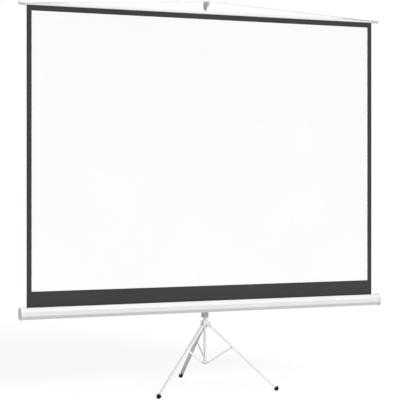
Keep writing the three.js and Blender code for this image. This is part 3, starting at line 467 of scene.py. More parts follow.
def screw_head(radius, height, low):
    """Rings of a pan head: a quarter-ellipse dome, less a cross of two bars with sloping walls."""
    turn = np.linspace(0, 1.5, 16)
    profile = np.stack([radius * np.cos(turn), low + height * np.sin(turn)], 1)
    rings = turned(np.concatenate([[(radius, low - 1)], profile]))
    across, along = np.abs(rings[..., 0]), np.abs(rings[..., 1])
    thin, long, slope, depth = 0.13 * radius, 0.62 * radius, 0.12 * radius, 0.7 * height

    def bar(u, v):
        """1 in a bar about the axis, falling evenly to 0 across its sloping walls."""
        return np.clip((thin + slope - u) / slope, 0, 1) * np.clip((long - v) / slope, 0, 1)

    rings[..., 2] -= depth * np.maximum(bar(across, along), bar(along, across))
    return rings


def skin(rings, looped=False):
    """Closed skin over rings of points: quads from ring to ring, and a face on each end unless looped."""
    rows, cols = rings.shape[:2]
    row, col = np.meshgrid(np.arange(rows if looped else rows - 1), np.arange(cols), indexing="ij")
    row2, col2 = (row + 1) % rows, (col + 1) % cols
    quads = np.stack([row * cols + col, row * cols + col2, row2 * cols + col2, row2 * cols + col], 2)
    ends = np.arange(rows * cols).reshape(rows, cols)[[0, -1]]
    return rings.reshape(-1, 3), [quads.reshape(-1, 4)] + ([] if looped else [ends])


def facing(axis, rings):
    """Shapes made about Z, with their own axis laid along X or Y."""
    return rings[..., {"x": [2, 0, 1], "y": [0, 2, 1]}[axis]]


def leaning(rings, angle, place):
    """Rings turned about Y by the angle, then moved to a place in their leg's plane."""
    x, y, z = np.moveaxis(rings, -1, 0)
    sine, cosine = np.sin(angle), np.cos(angle)
    return np.stack([place[0] + x * cosine + z * sine, y, place[1] - x * sine + z * cosine], -1)


def round_mast(rings, degrees):
    """Rings turned about the mast's axis."""
    x, y, z = np.moveaxis(rings, -1, 0)
    sine, cosine = np.sin(np.radians(degrees)), np.cos(np.radians(degrees))
    return np.stack([x * cosine - y * sine, x * sine + y * cosine, z], -1)


def piece(name, skins, finish, slot, body, *nodes):
    """One object from closed skins, in the frame's metres, smooth but for edges sharper than the crease."""
    start = np.cumsum([0] + [len(points) for points, _ in skins])
    points = np.concatenate([points for points, _ in skins]) * MM + (0, MAST_Y, 0)
    faces = [
        face
        for (_, groups), first in zip(skins, start)
        for group in groups
        for face in (group + first).tolist()
    ]
    mesh = bpy.data.meshes.new(name)
    mesh.from_pydata(points.tolist(), [], faces)
    shape = bmesh.new()
    shape.from_mesh(mesh)
    bmesh.ops.recalc_face_normals(shape, faces=shape.faces)
    shape.to_mesh(mesh)
    shape.free()
    mesh.polygons.foreach_set("use_smooth", np.ones(len(mesh.polygons), bool))
    mesh.set_sharp_from_angle(angle=CREASE)
    mesh.materials.append(finish)
    made = bpy.data.objects.new(name, mesh)
    bpy.context.collection.objects.link(made)
    even = made.modifiers.new("even_faces", "WEIGHTED_NORMAL")
    even.keep_sharp = True
    even.weight = 100
    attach(made, body)
    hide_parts(*nodes)
    return made


# Screen cloth

def ripple(x, z):
    """How far the hung cloth stands off its plane: a slow sine across it, strongest half way up."""
    depth, length, start = 0.8, 760, 180
    rise = np.clip((z - CASE_TOP_Z) / (SLAT_LOW_Z - CASE_TOP_Z), 0, 1)
    return depth * np.sin(2 * np.pi * (x + start) / length) * np.sin(np.pi * rise)


def cloth_piece(name, low, high, body):
    """Length of the cloth between two heights: a front and a back grid that follow the ripple, with a rim."""
    columns, row_height = 53, 60
    across = np.concatenate([
        [-CLOTH_HALF], np.linspace(-PICTURE_HALF, PICTURE_HALF, columns), [CLOTH_HALF],
    ])
    edges = [z for z in (low, PICTURE_LOW_Z, PICTURE_TOP_Z, high) if low <= z <= high]
    up = np.unique(np.concatenate([
        np.linspace(a, b, 2 + int((b - a) // row_height)) for a, b in zip(edges[:-1], edges[1:])
    ]))
    x, z = np.meshgrid(across, up)
    y = CLOTH_Y + ripple(x, z)
    rows, cols = x.shape
    points = np.concatenate([
        np.stack([x, y + side * CLOTH_THICK / 2, z], -1).reshape(-1, 3) for side in (-1, 1)
    ])
    index = np.arange(rows * cols).reshape(rows, cols)
    corners = [index[:-1, :-1], index[:-1, 1:], index[1:, 1:], index[1:, :-1]]
    front = np.stack(corners, -1).reshape(-1, 4)
    rim = np.concatenate([index[0, :-1], index[:-1, -1], index[-1, :0:-1], index[:0:-1, 0]])
    beyond = np.roll(rim, -1)
    behind = rows * cols
    edge = np.stack([rim, rim + behind, beyond + behind, beyond], -1)
    made = piece(
        name, [(points, [front, front[:, ::-1] + behind, edge])], PICTURE_WHITE, "screen_vinyl", body,
        "screen_cloth",
    )
    made.data.materials.append(BORDER_BLACK)
    made.data.materials.append(BACKING_BLACK)
    x, y, z = points[front].mean(1).T
    in_picture = (np.abs(x) < PICTURE_HALF) & (z > PICTURE_LOW_Z) & (z < PICTURE_TOP_Z)
    finish = np.concatenate([np.where(in_picture, 0, 1), np.full(len(front), 2), np.full(len(edge), 1)])
    made.data.polygons.foreach_set("material_index", finish.astype(np.int32))
    corner = np.zeros(len(made.data.loops), np.int32)
    made.data.loops.foreach_get("vertex_index", corner)
    laid = made.data.uv_layers.new(name="cloth")
    laid.data.foreach_set("uv", (points[corner][:, [0, 2]] * MM).astype(np.float32).ravel())
    return made


def gathered(made):
    """Gives a length of cloth its own copy of its mesh."""
    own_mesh(made)


def wound_cloth():
    """Cloth on the roller: a spiral whose radius grows by its pitch each turn, as a thin band along X."""
    turns, pitch, thick, inner = 2.0, 0.35, 0.3, ROLLER_RADIUS + 0.4
    angle = np.linspace(0, 2 * np.pi * turns, 97)
    radius = inner + pitch * angle / (2 * np.pi)
    band = np.concatenate([radius + thick, radius[::-1]])
    around = np.concatenate([angle, angle[::-1]])
    profile = np.stack([band * np.cos(around), band * np.sin(around)], 1) + (CASE_Y, CASE_Z)
    roll = facing("x", carried(profile, -CLOTH_HALF, CLOTH_HALF))
    made = piece("cloth_on_roller", [skin(roll)], BACKING_BLACK, "screen_vinyl", "roller", "cloth_turns")
    made.data.uv_layers.new(name="cloth")


def build_cloth():
    """Three lengths of cloth, one for each joint that shortens it, share the spare; then the top border."""
    spare = (PICTURE_TOP_Z - CASE_Z - sum(map(travel, ("case_height", "mast_slide", "rod_extension")))) / 3
    lower_top = CASE_Z + travel("case_height") + spare
    middle_top = lower_top + travel("mast_slide") + spare
    lower = cloth_piece("cloth_lower", CASE_Z, lower_top, "stand_hub")
    gathered(lower)
    middle = cloth_piece("cloth_middle", lower_top, middle_top, "stand_hub")
    gathered(middle)
    upper = cloth_piece("cloth_upper", middle_top, PICTURE_TOP_Z, "mast")
    gathered(upper)
    cloth_piece("cloth_top_border", PICTURE_TOP_Z, HEM_Z, "rod")
    wound_cloth()


build_cloth()


# Tripod

def leg_channel():
    """Leg: a U profile with rounded bends, carried along the leg; its web is on the outer side."""
    inner, web = LEG_HALF - WALL, LEG_WEB - WALL
    lip, bend, inner_bend = 0.5, 2.2, 1
    corners = [
        (LEG_LIP, -LEG_HALF), (LEG_WEB, -LEG_HALF), (LEG_WEB, LEG_HALF), (LEG_LIP, LEG_HALF),
        (LEG_LIP, inner), (web, inner), (web, -inner), (LEG_LIP, -inner),
    ]
    profile = rounded(corners, [lip, bend, bend, lip, lip, inner_bend, inner_bend, lip])
    return carried(profile, -LEG_LENGTH, LEG_ABOVE_PIVOT)


def foot():
    """Foot: a ball about the leg's end under a rim with a rounded edge, pressed flat at the floor.

    The rim's grooves are a sine to a high power.
    """
    groove, pitch = 0.7, 2.8
    turn = np.linspace(np.radians(2), np.pi / 2, 14)
    ball = np.stack([FOOT_RADIUS * np.sin(turn), -FOOT_RADIUS * np.cos(turn)], 1)
    height = np.linspace(0.3, 2 * pitch, 37)
    rim = np.stack([FOOT_RADIUS - groove * np.sin(np.pi * height / pitch) ** 6, height], 1)
    bend = np.linspace(0, np.pi / 2, 6)
    edge = np.stack([np.cos(bend) - 1, np.sin(bend) - 1], 1) * FOOT_EDGE + (FOOT_RADIUS, FOOT_GRIP)
    shoe = turned(np.concatenate([ball, rim, edge]), 40) + ((LEG_WEB + LEG_LIP) / 2, 0, -LEG_LENGTH)
    stood = leaning(shoe, -LEG_SPREAD, LEG_PIVOT)
    return np.maximum(stood, (-np.inf, -np.inf, 0))


def hub_cheek(low, high):
    """Cheek beside a leg: a rounded outline from the sleeve out over the leg's pin, through its thickness."""
    reach, height = LEG_PIVOT
    root, foot_x, seam = HUB_RADIUS - 7, HUB_RADIUS + 0.5, HUB_BOTTOM_Z + 1
    nose, sole = reach + CHEEK_ROUND, height - CHEEK_ROUND
    corners = [
        (foot_x, sole), (nose, sole), (nose, height + 3), (reach, HUB_CROWN_LOW_Z), (reach, HUB_CROWN_TOP_Z),
        (root, HUB_CROWN_TOP_Z), (root, seam), (foot_x, seam),
    ]
    outline = rounded(corners, [1.5, 4.8, 4, 6, 5, 1, 1, 0.6])
    return facing("y", plate(outline, low, high, 0.8))


def brace_strips(length):
    """Brace: a strip with round ends, with a pressed rib along the middle of its outer face."""
    bend = np.linspace(np.pi, 2 * np.pi, 13)
    end = np.stack([np.cos(bend), np.sin(bend)], 1)

    def strip(half, start, stop):
        """Two half circles, one at the start and one at the stop, joined by straight sides."""
        return np.concatenate([half * end + (0, start), -half * end + (0, stop)])

    rib_start, rib_half, rib_rise = 22, 2.2, 0.6
    rib_outline = strip(rib_half, rib_start, length - rib_start)
    body = plate(strip(BRACE_HALF, 0, length), -BRACE_OUTER, -BRACE_INNER, BRACE_EDGE)
    rib = plate(rib_outline, -BRACE_OUTER - rib_rise, -BRACE_INNER - rib_rise, BRACE_EDGE)
    return facing("y", body), facing("y", rib)


def collar_lug(low, high):
    """Lug beside a brace: an outline from the collar out to a round end, carried through its thickness."""
    reach, height = COLLAR_PIVOT
    root, nose = MAST_RADIUS - 0.4, reach + BRACE_HALF
    sole, top = height - BRACE_HALF, height + BRACE_HALF
    root_round, end_round = 1, 5.9
    corners = [(root, sole), (nose, sole), (nose, top), (root, top)]
    outline = rounded(corners, [root_round, end_round, end_round, root_round], 8)
    return facing("y", plate(outline, low, high, 0.8))


def build_hub():
    """Hub: a crowned sleeve turned about the mast, with two cheeks for each leg, and its flanged bush."""
    bore = BUSH_RADIUS + GAP
    hub = rounded([
        (bore, HUB_BOTTOM_Z), (HUB_RADIUS, HUB_BOTTOM_Z), (HUB_RADIUS, HUB_CROWN_LOW_Z),
        (HUB_CROWN_RADIUS, HUB_CROWN_LOW_Z), (HUB_CROWN_RADIUS, HUB_CROWN_TOP_Z),
        (HUB_TOP_RADIUS, HUB_TOP_Z), (bore, HUB_TOP_Z),
    ], [0.4, 1, 1.5, 2, 3, 2, 0.4])
    cheeks = [
        skin(round_mast(hub_cheek(low, high), azimuth)) for azimuth in LEGS.values()
        for low, high in ((-CHEEK_OUTER, -CHEEK_INNER), (CHEEK_INNER, CHEEK_OUTER))
    ]
    sleeve = skin(turned(hub), True)
    piece("hub_moulding", [sleeve, *cheeks], WHITE_ABS, "white_plastic", "stand_hub", "leg_hub")
    flange_top = HUB_BOTTOM_Z - GAP
    flange_low = flange_top - BUSH_FLANGE_HEIGHT
    bush = rounded([
        (MAST_BORE, flange_low), (BUSH_FLANGE_RADIUS, flange_low), (BUSH_FLANGE_RADIUS, flange_top),
        (BUSH_RADIUS, flange_top), (BUSH_RADIUS, HUB_TOP_Z), (MAST_BORE, HUB_TOP_Z),
    ], [0.4, 1, 0.6, 0.4, 0.4, 0.4])
    piece("hub_liner", [skin(turned(bush), True)], GREY_ABS, "grey_plastic", "stand_hub", "hub_bush")


def build_collar():
    """Collar at the mast's bottom: a ring turned about the mast, with a lug for each brace."""
    low = COLLAR_PIVOT[1] - BRACE_HALF
    collar = rectangle(MAST_BORE, COLLAR_RADIUS, low, low + COLLAR_HEIGHT, [0.4, 1.2, 1.2, 0.4])
    lugs = [
        skin(round_mast(collar_lug(-LUG_OUTER, LUG_THICK - LUG_OUTER), azimuth)) for azimuth in LEGS.values()
    ]
    ring = skin(turned(collar), True)
    piece("brace_ring", [ring, *lugs], WHITE_ABS, "white_plastic", "mast", "brace_collar")


def build_leg(side, azimuth):
    """Leg, foot and pin in the plane of their azimuth, with the brace from the collar's pivot to its own."""
    leg = round_mast(leaning(leg_channel(), -LEG_SPREAD, LEG_PIVOT), azimuth)
    piece(f"{side}_leg_channel", [skin(leg)], POWDER_COAT, "white_paint", f"{side}_leg", f"leg_{side}")
    shoe = round_mast(foot(), azimuth)
    piece(f"{side}_rubber_foot", [skin(shoe)], BLACK_RUBBER, "black_rubber", f"{side}_leg", f"foot_{side}")
    grip = CHEEK_OUTER + GAP
    pin = facing("y", headed(*LEG_PIN, -grip, grip)) + (LEG_PIVOT[0], 0, LEG_PIVOT[1])
    pin = round_mast(pin, azimuth)
    piece(f"{side}_leg_rivet", [skin(pin)], ZINC_STEEL, "steel", "stand_hub", f"leg_pin_{side}")
    run = LEG_PIVOT[0] + BRACE_REACH * np.sin(LEG_SPREAD) - COLLAR_PIVOT[0]
    rise = LEG_PIVOT[1] - BRACE_REACH * np.cos(LEG_SPREAD) - COLLAR_PIVOT[1]
    length, tilt = np.hypot(run, rise), np.arctan2(run, rise)
    strips = [skin(round_mast(leaning(part, tilt, COLLAR_PIVOT), azimuth)) for part in brace_strips(length)]
    piece(f"{side}_brace_strip", strips, POWDER_COAT, "white_paint", f"{side}_brace", f"brace_{side}")
    back = -BRACE_OUTER - GAP
    upper = facing("y", headed(*BRACE_RIVET, back, 0.4 - BRACE_INNER)) + (0, 0, length)
    upper = round_mast(leaning(upper, tilt, COLLAR_PIVOT), azimuth)
    piece(
        f"{side}_brace_upper_rivet", [skin(upper)], ZINC_STEEL, "steel", f"{side}_brace",
        f"brace_leg_rivet_{side}",
    )
    lower = facing("y", headed(*BRACE_RIVET, back, LUG_THICK - BRACE_INNER + 2 * GAP))
    lower = round_mast(lower + (COLLAR_PIVOT[0], 0, COLLAR_PIVOT[1]), azimuth)
    piece(
        f"{side}_brace_lower_rivet", [skin(lower)], ZINC_STEEL, "steel", "mast", f"brace_collar_rivet_{side}",
    )


build_hub()
build_collar()
for leg_side, leg_azimuth in LEGS.items():
    build_leg(leg_side, leg_azimuth)


# Mast and rod

def tube(outer, low, high):
    """Tube: a thin rectangle with rounded corners, turned about the axis."""
    return skin(turned(rectangle(outer - WALL, outer, low, high, 0.4), 64), True)


def knob(node, joint):
    """Lock knob: a lobed outline with rounded edges, a raised centre disc, and a stud towards the mast."""
    low, high = span(node)
    tip, back, height = low[1], high[1], pivot(joint)[1]
    angle = np.linspace(0, 2 * np.pi, 100, endpoint=False)
    radius = KNOB_RADIUS + KNOB_LOBE_RISE * np.cos(KNOB_LOBES * angle)
    outline = np.stack([radius * np.cos(angle), radius * np.sin(angle)], 1)
    grip = plate(outline, back - KNOB_THICK, back, KNOB_EDGE, 6)
    disc = plate(turned([(KNOB_DISC, 0)], 40)[0, :, :2], back - 1, back + 0.7, 0.7)
    inside = back - KNOB_THICK + KNOB_EDGE
    stud = turned([(KNOB_STUD - 0.4, tip), (KNOB_STUD, tip + 0.6), (KNOB_STUD, inside)], 24)
    return [skin(facing("y", part) + (0, 0, height)) for part in (grip, disc, stud)]


def build_mast():
    """Mast, rod, and what is turned about them: the foot plug, and the collar with its knob."""
    mast = tube(MAST_RADIUS, MAST_BOTTOM_Z, MAST_TOP_Z)
    piece("mast_outer_tube", [mast], POWDER_COAT, "white_paint", "mast", "mast_tube")
    rod = tube(ROD_RADIUS, ROD_BOTTOM_Z, ROD_TOP_Z)
    piece("rod_tube", [rod], DRAWN_ALUMINIUM, "aluminium", "rod", "extension_rod")
    foot_z, plug_top = (corner[2] for corner in span("mast_end_plug"))
    seat, spigot = MAST_BOTTOM_Z - GAP, MAST_RADIUS - WALL - GAP
    plug = [
        (0.6 * MAST_RADIUS, foot_z), (MAST_RADIUS - 1.6, foot_z), (MAST_RADIUS - 0.4, foot_z + 0.6),
        (MAST_RADIUS, foot_z + 1.7), (MAST_RADIUS, seat), (spigot, seat), (spigot, plug_top),
    ]
    piece("mast_foot_plug", [skin(turned(plug))], WHITE_ABS, "white_plastic", "mast", "mast_end_plug")
    low, high = span("mast_top_collar")
    outer, bevel, shoulder = high[0], 3, MAST_TOP_Z + GAP
    collar = rounded([
        (MAST_BORE, low[2]), (outer, low[2]), (outer, high[2] - bevel), (outer - bevel, high[2]),
        (ROD_BORE, high[2]), (ROD_BORE, shoulder), (MAST_BORE, shoulder),
    ], [0.4, 1.4, 2, 1.4, 0.4, 0.4, 0.4])
    collar = skin(turned(collar), True)
    piece("rod_clamp_collar", [collar], GREY_ABS, "grey_plastic", "mast", "mast_top_collar")
    grip = knob("rod_lock_knob", "rod_lock_turn")
    piece("rod_knob_grip", grip, BLACK_NYLON, "black_plastic", "rod_knob", "rod_lock_knob")


build_mast()


# Carrier and case

def build_carrier():
    """Carrier: a clamp block and a wider neck, both bored for the mast, with a screw and two black side
    plugs, the left one a painted shadow beside the screw.
    """
    low, high = span("case_carrier")
    front, step = -CLAMP_HALF, low[2] + CLAMP_HEIGHT
    clamp = rectangle(-CLAMP_HALF, CLAMP_HALF, front, high[1], CARRIER_CORNER)
    neck = rectangle(low[0], high[0], low[1], NECK_BACK_Y, CARRIER_CORNER)
    blocks = [
        skin(bored(clamp, low[2], step, CARRIER_EDGE, MAST_BORE), True),
        skin(bored(neck, step, high[2], CARRIER_EDGE, MAST_BORE), True),
    ]
    # The bracket's greyer tone is painted shade, not a different plastic.
    piece("case_bracket", blocks, CARRIER_ABS_PAINTED_SHADE, "white_plastic", "case", "case_carrier")
    lock_z = pivot("case_lock_turn")[1]
    screw = facing("y", screw_head(*CLAMP_SCREW, -front)) * (1, -1, 1) + (0, 0, lock_z)
    piece("clamp_screw", [skin(screw)], ZINC_STEEL, "steel", "case")
    # Black plugs on both sides of the clamp: the left one, just below and beside the screw, stands in for the
    # screw's shadow, so its black is painted shadow.
    plug = turned([
        (PLUG_RADIUS, CLAMP_HALF - 1), (PLUG_RADIUS, CLAMP_HALF + 0.3), (PLUG_RADIUS - 0.6, CLAMP_HALF + 0.8),
        (1.2, CLAMP_HALF + 0.9),
    ], 32)
    plug = facing("x", plug) + (0, front + 9, lock_z - 3)
    shadow_plugs = [skin(plug * (side, 1, 1)) for side in (-1, 1)]
    piece("clamp_plugs_painted_shadow", shadow_plugs, BLACK_NYLON, "black_plastic", "case")


def build_back_plate():
    """Back plate: a rounded strip behind the case, with four domed rivets clear of the carrier's neck."""
    low, high = span("swivel_plate")
    strip = plate(rectangle(low[0], high[0], low[2], high[2], 5), low[1], high[1], 0.6)
    rivet = facing("y", headed(*PLATE_RIVET, low[1] + 1, high[1]))
    across, up = 0.8 * high[0], 9
    rivets = [skin(rivet + (x * across, 0, CASE_Z + z * up)) for x in (-1, 1) for z in (-1, 1)]
    piece("case_back_plate", [skin(facing("y", strip)), *rivets], ZINC_STEEL, "steel", "case", "swivel_plate")
    grip = knob("case_lock_knob", "case_lock_turn")
    piece("case_knob_grip", grip, BLACK_NYLON, "black_plastic", "case_knob", "case_lock_knob")


def case_shell():
    """Case: a folded sheet whose outline is the octagon, open at a slot with lips turned down.

    Half depth, half height and chamfer are u, v and c outside, and i, j and k inside.
    """
    u, v, c = CASE_HALF_DEPTH, CASE_HALF_HEIGHT, CASE_CHAMFER
    i, j, k = u - WALL, v - WALL, c - WALL * (2 - np.sqrt(2))
    front, back, lip = WOUND_RADIUS - SLOT_FRONT, WOUND_RADIUS + SLOT_BACK, v - CASE_LIP
    corners = [
        (front, v), (c - u, v), (-u, v - c), (-u, c - v), (c - u, -v), (u - c, -v), (u, c - v), (u, v - c),
        (u - c, v), (back, v), (back, lip), (back + WALL, lip), (back + WALL, i + j - k - back - WALL),
        (i, j - k), (i, k - j), (i - k, -j), (k - i, -j), (-i, k - j), (-i, j - k), (k - i, j),
        (front - WALL, j), (front - WALL, lip), (front, lip),
    ]
    front_fold, fold, raw = 0.6, 0.4, 0.3
    radii = [
        front_fold, *[CASE_BEND_OUTER] * 7, fold, fold, raw, raw, raw, *[CASE_BEND_INNER] * 7, fold, raw, raw,
    ]
    return rounded(corners, radii) + (CASE_Y, CASE_Z)


def case_cap(side):
    """End cap: the octagon, grown and softened, carried outwards to a flat end with a rounded edge."""
    length = CASE_HALF - CAP_X
    edge = np.linspace(0, np.pi / 2, 7)
    out = np.concatenate([[0, 0.6, 1.6], length - CAP_BEVEL + CAP_BEVEL * np.sin(edge)])
    grow = np.concatenate([[-1.6, -0.6, 0], CAP_BEVEL * (np.cos(edge) - 1)]) + CAP_PROUD
    outlines = np.stack([octagon(g, CAP_CORNER) for g in grow])
    x = np.broadcast_to((side * (CAP_X + out))[:, None, None], (*outlines.shape[:2], 1))
    return facing("x", np.concatenate([outlines, x], 2))


def build_case():
    """Case: the shell carried along X, and at each end a cap with two screws."""
    shell = facing("x", carried(case_shell(), -CASE_SHELL_HALF, CASE_SHELL_HALF))
    piece("case_folded_shell", [skin(shell)], CASE_PAINT, "white_paint", "case", "case_shell")
    screw = facing("x", screw_head(*CAP_SCREW, CASE_HALF))
    for name, side in (("left", -1), ("right", 1)):
        cap = [skin(case_cap(side))]
        piece(f"case_end_{name}", cap, WHITE_ABS, "white_plastic", "case", f"case_cap_{name}")
        screws = [
            skin((screw + (0, CASE_Y + across, CASE_Z)) * (side, 1, 1))
            for across in (-CAP_SCREW_REACH, CAP_SCREW_REACH)
        ]
        piece(f"case_end_screws_{name}", screws, ZINC_STEEL, "steel", "case")


build_carrier()
build_back_plate()
build_case()


# Slat, bail and hook

def slat_profile():
    """Slat: a hollow rounded rectangle, open along a groove in its underside."""
    half, wall, groove = SLAT_HALF_DEPTH, SLAT_WALL, CLOTH_THICK / 2 + GAP
    low, high = SLAT_LOW_Z, SLAT_TOP_Z
    corners = [
        (groove, low), (half, low), (half, high), (-half, high), (-half, low), (-groove, low),
        (-groove, low + wall), (wall - half, low + wall), (wall - half, high - wall),
        (half - wall, high - wall), (half - wall, low + wall), (groove, low + wall),
    ]
    raw, inner = 0.2, SLAT_CORNER - wall
    radii = [raw, *[SLAT_CORNER] * 4, raw, raw, *[inner] * 4, raw]
    return rounded(corners, radii) + (CLOTH_Y, 0)


def bail():
    """Bail wire: a round section along a path that rises evenly to the middle, its bends eased by hyperbolas.

    The path's points lie closer together at its middle and at its ends, where it bends.
    """
    crest, knee = 8, 5
    out = np.concatenate([
        np.linspace(0, 60, 25), np.linspace(75, BAIL_BEND_X - 40, 38),
        np.linspace(BAIL_BEND_X - 35, BAIL_END_X, 40),
    ])
    x = np.concatenate([-out[:0:-1], out])
    left = BAIL_BEND_X - np.sqrt(x ** 2 + crest ** 2) + crest
    slope = (BAIL_TOP_Z - SLAT_MID_Z) / BAIL_BEND_X
    z = SLAT_MID_Z + slope * (np.sqrt(left ** 2 + knee ** 2) + left) / 2
    rise = np.gradient(z, x)
    normal = np.stack([-rise, np.zeros_like(x), np.ones_like(x)], 1) / np.sqrt(1 + rise ** 2)[:, None]
    angle = np.linspace(0, 2 * np.pi, 14, endpoint=False)[None, :, None]
    path = np.stack([x, np.full_like(x, BAIL_Y), z], 1)
    section = np.cos(angle) * normal[:, None] + np.sin(angle) * np.array([0, 1, 0])
    return path[:, None] + BAIL_RADIUS * section


def build_slat():
    """Slat with its end caps; each cap is a softened block with a round boss in front for the bail's end."""
    slat = facing("x", carried(slat_profile(), -SLAT_BODY_HALF, SLAT_BODY_HALF))
    piece("slat_rail", [skin(slat)], POWDER_COAT, "white_paint", "rod", "top_slat")
    half, proud, length = SLAT_HALF_DEPTH + SLAT_CAP_PROUD, SLAT_CAP_PROUD, SLAT_HALF - SLAT_CAP_X
    outline = rectangle(
        CLOTH_Y - half, CLOTH_Y + half, SLAT_LOW_Z - proud, SLAT_TOP_Z + proud, SLAT_CORNER + 0.6,
    )
    eye = turned([
        (BOSS_RADIUS - 1.3, 0), (BOSS_RADIUS - 0.3, 0.4), (BOSS_RADIUS, 1.2), (BOSS_RADIUS, length - 2),
        (BOSS_RADIUS - 0.5, length - 0.8), (BOSS_RADIUS - 1.7, length - 0.2),
    ], 32)
    for name, side in (("left", -1), ("right", 1)):
        block = facing("x", plate(outline, SLAT_CAP_X, SLAT_HALF, SLAT_CAP_EDGE, 6)) * (side, 1, 1)
        boss = (facing("x", eye) + (SLAT_CAP_X, BAIL_Y, SLAT_MID_Z)) * (side, 1, 1)
        cap = [skin(block), skin(boss)]
        piece(f"slat_end_{name}", cap, WHITE_ABS, "white_plastic", "rod", f"slat_cap_{name}")
    piece("bail_wire", [skin(bail())], DRAWN_WIRE, "steel", "rod", "bail")


def build_hook():
    """Hook: a socketed head turned about the rod, with an arm whose outline has a notch for the bail."""
    edge = HOOK_EDGE
    outer = rounded([
        (0, HOOK_BOTTOM_Z), (HOOK_RADIUS - edge, HOOK_BOTTOM_Z), (HOOK_RADIUS, HOOK_BOTTOM_Z + 2 * edge),
        (HOOK_RADIUS, HOOK_TOP_Z - edge), (HOOK_RADIUS - edge, HOOK_TOP_Z), (0, HOOK_TOP_Z),
    ], [0.1, 1, 2, 1.6, 1.6, 0.1])[5:-5]
    socket = [(ROD_BORE, ROD_TOP_Z + GAP), (ROD_BORE, HOOK_BOTTOM_Z + 0.6), (ROD_BORE + 0.4, HOOK_BOTTOM_Z)]
    head = turned(np.concatenate([socket, outer]))
    notch = BAIL_RADIUS + GAP
    floor, rise = BAIL_TOP_Z - notch - GAP, BAIL_TOP_Z + 1
    arm = rounded([
        (HOOK_NOSE_Y, floor - 15), (HOOK_NOSE_Y, rise), (BAIL_Y - notch, rise), (BAIL_Y - notch, floor),
        (BAIL_Y + notch, floor), (BAIL_Y + notch, rise), (-HOOK_RADIUS, HOOK_TOP_Z - edge),
        (1 - ROD_BORE, HOOK_TOP_Z - edge), (1 - ROD_BORE, HOOK_BOTTOM_Z + 2 * edge),
    ], [2, 1.6, 1, 1.6, 1.6, 1, 2, 1.2, 1.2])
    arm = facing("x", plate(arm[::-1], -HOOK_ARM_HALF, HOOK_ARM_HALF, 1))
    piece("hook_moulding", [skin(head), skin(arm)], WHITE_ABS, "white_plastic", "rod", "hook_head")
    low, high = span("hook_pin")
    end = high[0] - 0.1
    tip = HOOK_PIN - 0.7
    pin = turned([(tip, -end), (HOOK_PIN, 0.4 - end), (HOOK_PIN, end - 0.4), (tip, end)], 24)
    pin = facing("x", pin) + (0, 0, (low + high)[2] / 2)
    piece("hook_rivet", [skin(pin)], ZINC_STEEL, "steel", "rod", "hook_pin")


build_slat()
build_hook()

# Pieces that stay hidden inside others keep the frame's own shape and get the same finishes.
INSIDE = {
    "roller_tube": DRAWN_ALUMINIUM, "roller_plug_left": WHITE_ABS, "roller_plug_right": WHITE_ABS,
    "roller_spindle": ZINC_STEEL, "torsion_spring": ZINC_STEEL, "swivel_stud": ZINC_STEEL,
    "hem_rod": ZINC_STEEL, "rod_guide_bush": BLACK_NYLON,
}
for inside_node, inside_finish in INSIDE.items():
    frame["nodes"][inside_node].data.materials[0] = inside_finish


# Studio: a pale floor, even light all round, soft lamps from above and in front, and a low lamp behind

def seen_directly(tree):
    """1 for rays from the camera, off gloss and through clear surfaces, and 0 for those that carry light."""
    path = add(tree, "ShaderNodeLightPath").outputs
    first = add(
        tree, "ShaderNodeMath", links={0: path["Is Camera Ray"], 1: path["Is Glossy Ray"]},
        operation="MAXIMUM",
    )
    return add(
        tree, "ShaderNodeMath", links={0: first.outputs["Value"], 1: path["Is Transmission Ray"]},
        operation="MAXIMUM",
    ).outputs["Value"]


def light_world(strength):
    """Even grey light from all round, on a background that shows as plain white."""
    world = bpy.data.worlds.new("studio")
    bpy.context.scene.world = world
    world.use_nodes = True
    tree = world.node_tree
    tree.nodes.clear()
    even = add(tree, "ShaderNodeBackground", {"Color": (1, 1, 1, 1), "Strength": strength})
    white = add(tree, "ShaderNodeBackground", {"Color": (1, 1, 1, 1), "Strength": 1.0})
    mixed = add(
        tree, "ShaderNodeMixShader",
        links={0: seen_directly(tree), 1: even.outputs["Background"], 2: white.outputs["Background"]},
    )
    add(tree, "ShaderNodeOutputWorld", links={"Surface": mixed.outputs["Shader"]})


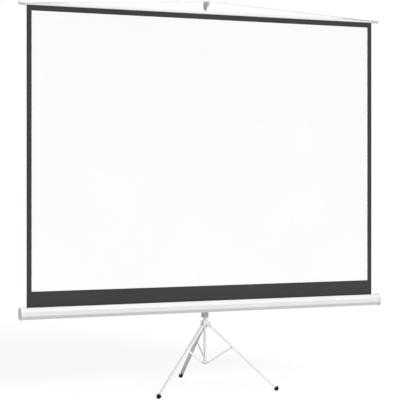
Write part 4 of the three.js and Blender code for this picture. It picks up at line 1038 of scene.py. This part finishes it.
def hang_lamp(name, strength, spread, direction):
    """A distant lamp that shines from a direction, softened over the spread of its disc in degrees."""
    lamp = bpy.data.lights.new(name, "SUN")
    lamp.energy = strength
    lamp.angle = np.radians(spread)
    made = bpy.data.objects.new(name, lamp)
    lean = np.arccos(direction[2] / np.linalg.norm(direction))
    made.rotation_euler = (lean, 0, np.arctan2(direction[1], direction[0]) + np.pi / 2)
    bpy.context.collection.objects.link(made)


def lay_floor(half, lift):
    """White card: it throws its light back on the object, and shows as white with a faint shadow."""
    mesh = bpy.data.meshes.new("floor")
    corners = [(-half, -half, 0), (half, -half, 0), (half, half, 0), (-half, half, 0)]
    mesh.from_pydata(corners, [], [(0, 1, 2, 3)])
    material = bpy.data.materials.new("white_studio_card")
    material.use_nodes = True
    tree = material.node_tree
    tree.nodes.clear()
    card = add(tree, "ShaderNodeBsdfDiffuse", {"Color": linear("#d8d8d8")})
    shade = add(tree, "ShaderNodeBsdfDiffuse", {"Color": linear("#7c7c7c")})
    glow = add(tree, "ShaderNodeEmission", {"Color": (1, 1, 1, 1), "Strength": lift})
    shown = add(tree, "ShaderNodeAddShader", links={0: shade.outputs["BSDF"], 1: glow.outputs["Emission"]})
    mixed = add(
        tree, "ShaderNodeMixShader",
        links={0: seen_directly(tree), 1: card.outputs["BSDF"], 2: shown.outputs["Shader"]},
    )
    add(tree, "ShaderNodeOutputMaterial", links={"Surface": mixed.outputs["Shader"]})
    mesh.materials.append(material)
    floor = bpy.data.objects.new("floor", mesh)
    bpy.context.collection.objects.link(floor)


def set_camera():
    """The photograph's view: level, from the left front, with the frame shifted down."""
    camera = bpy.data.cameras.new("camera")
    camera.lens = 107.9
    camera.sensor_width = 36
    camera.shift_x = 0.00045
    camera.shift_y = -0.0528
    camera.clip_end = 200
    made = bpy.data.objects.new("camera", camera)
    made.location = (-2.480, MAST_Y - 6.3400, 1.1906)
    made.rotation_euler = np.radians((90, 0, -21.10))
    bpy.context.collection.objects.link(made)
    bpy.context.scene.camera = made


bpy.context.scene.view_settings.view_transform = "Standard"
light_world(strength=0.225)
hang_lamp("key", strength=0.72, spread=40, direction=(0.05, -0.15, 0.985))
hang_lamp("front", strength=2.16, spread=20, direction=(0.25, -0.81, 0.53))
hang_lamp("back", strength=1.3, spread=8, direction=(0.36, 0.93, 0.08))
lay_floor(half=60.0, lift=0.845)
set_camera()
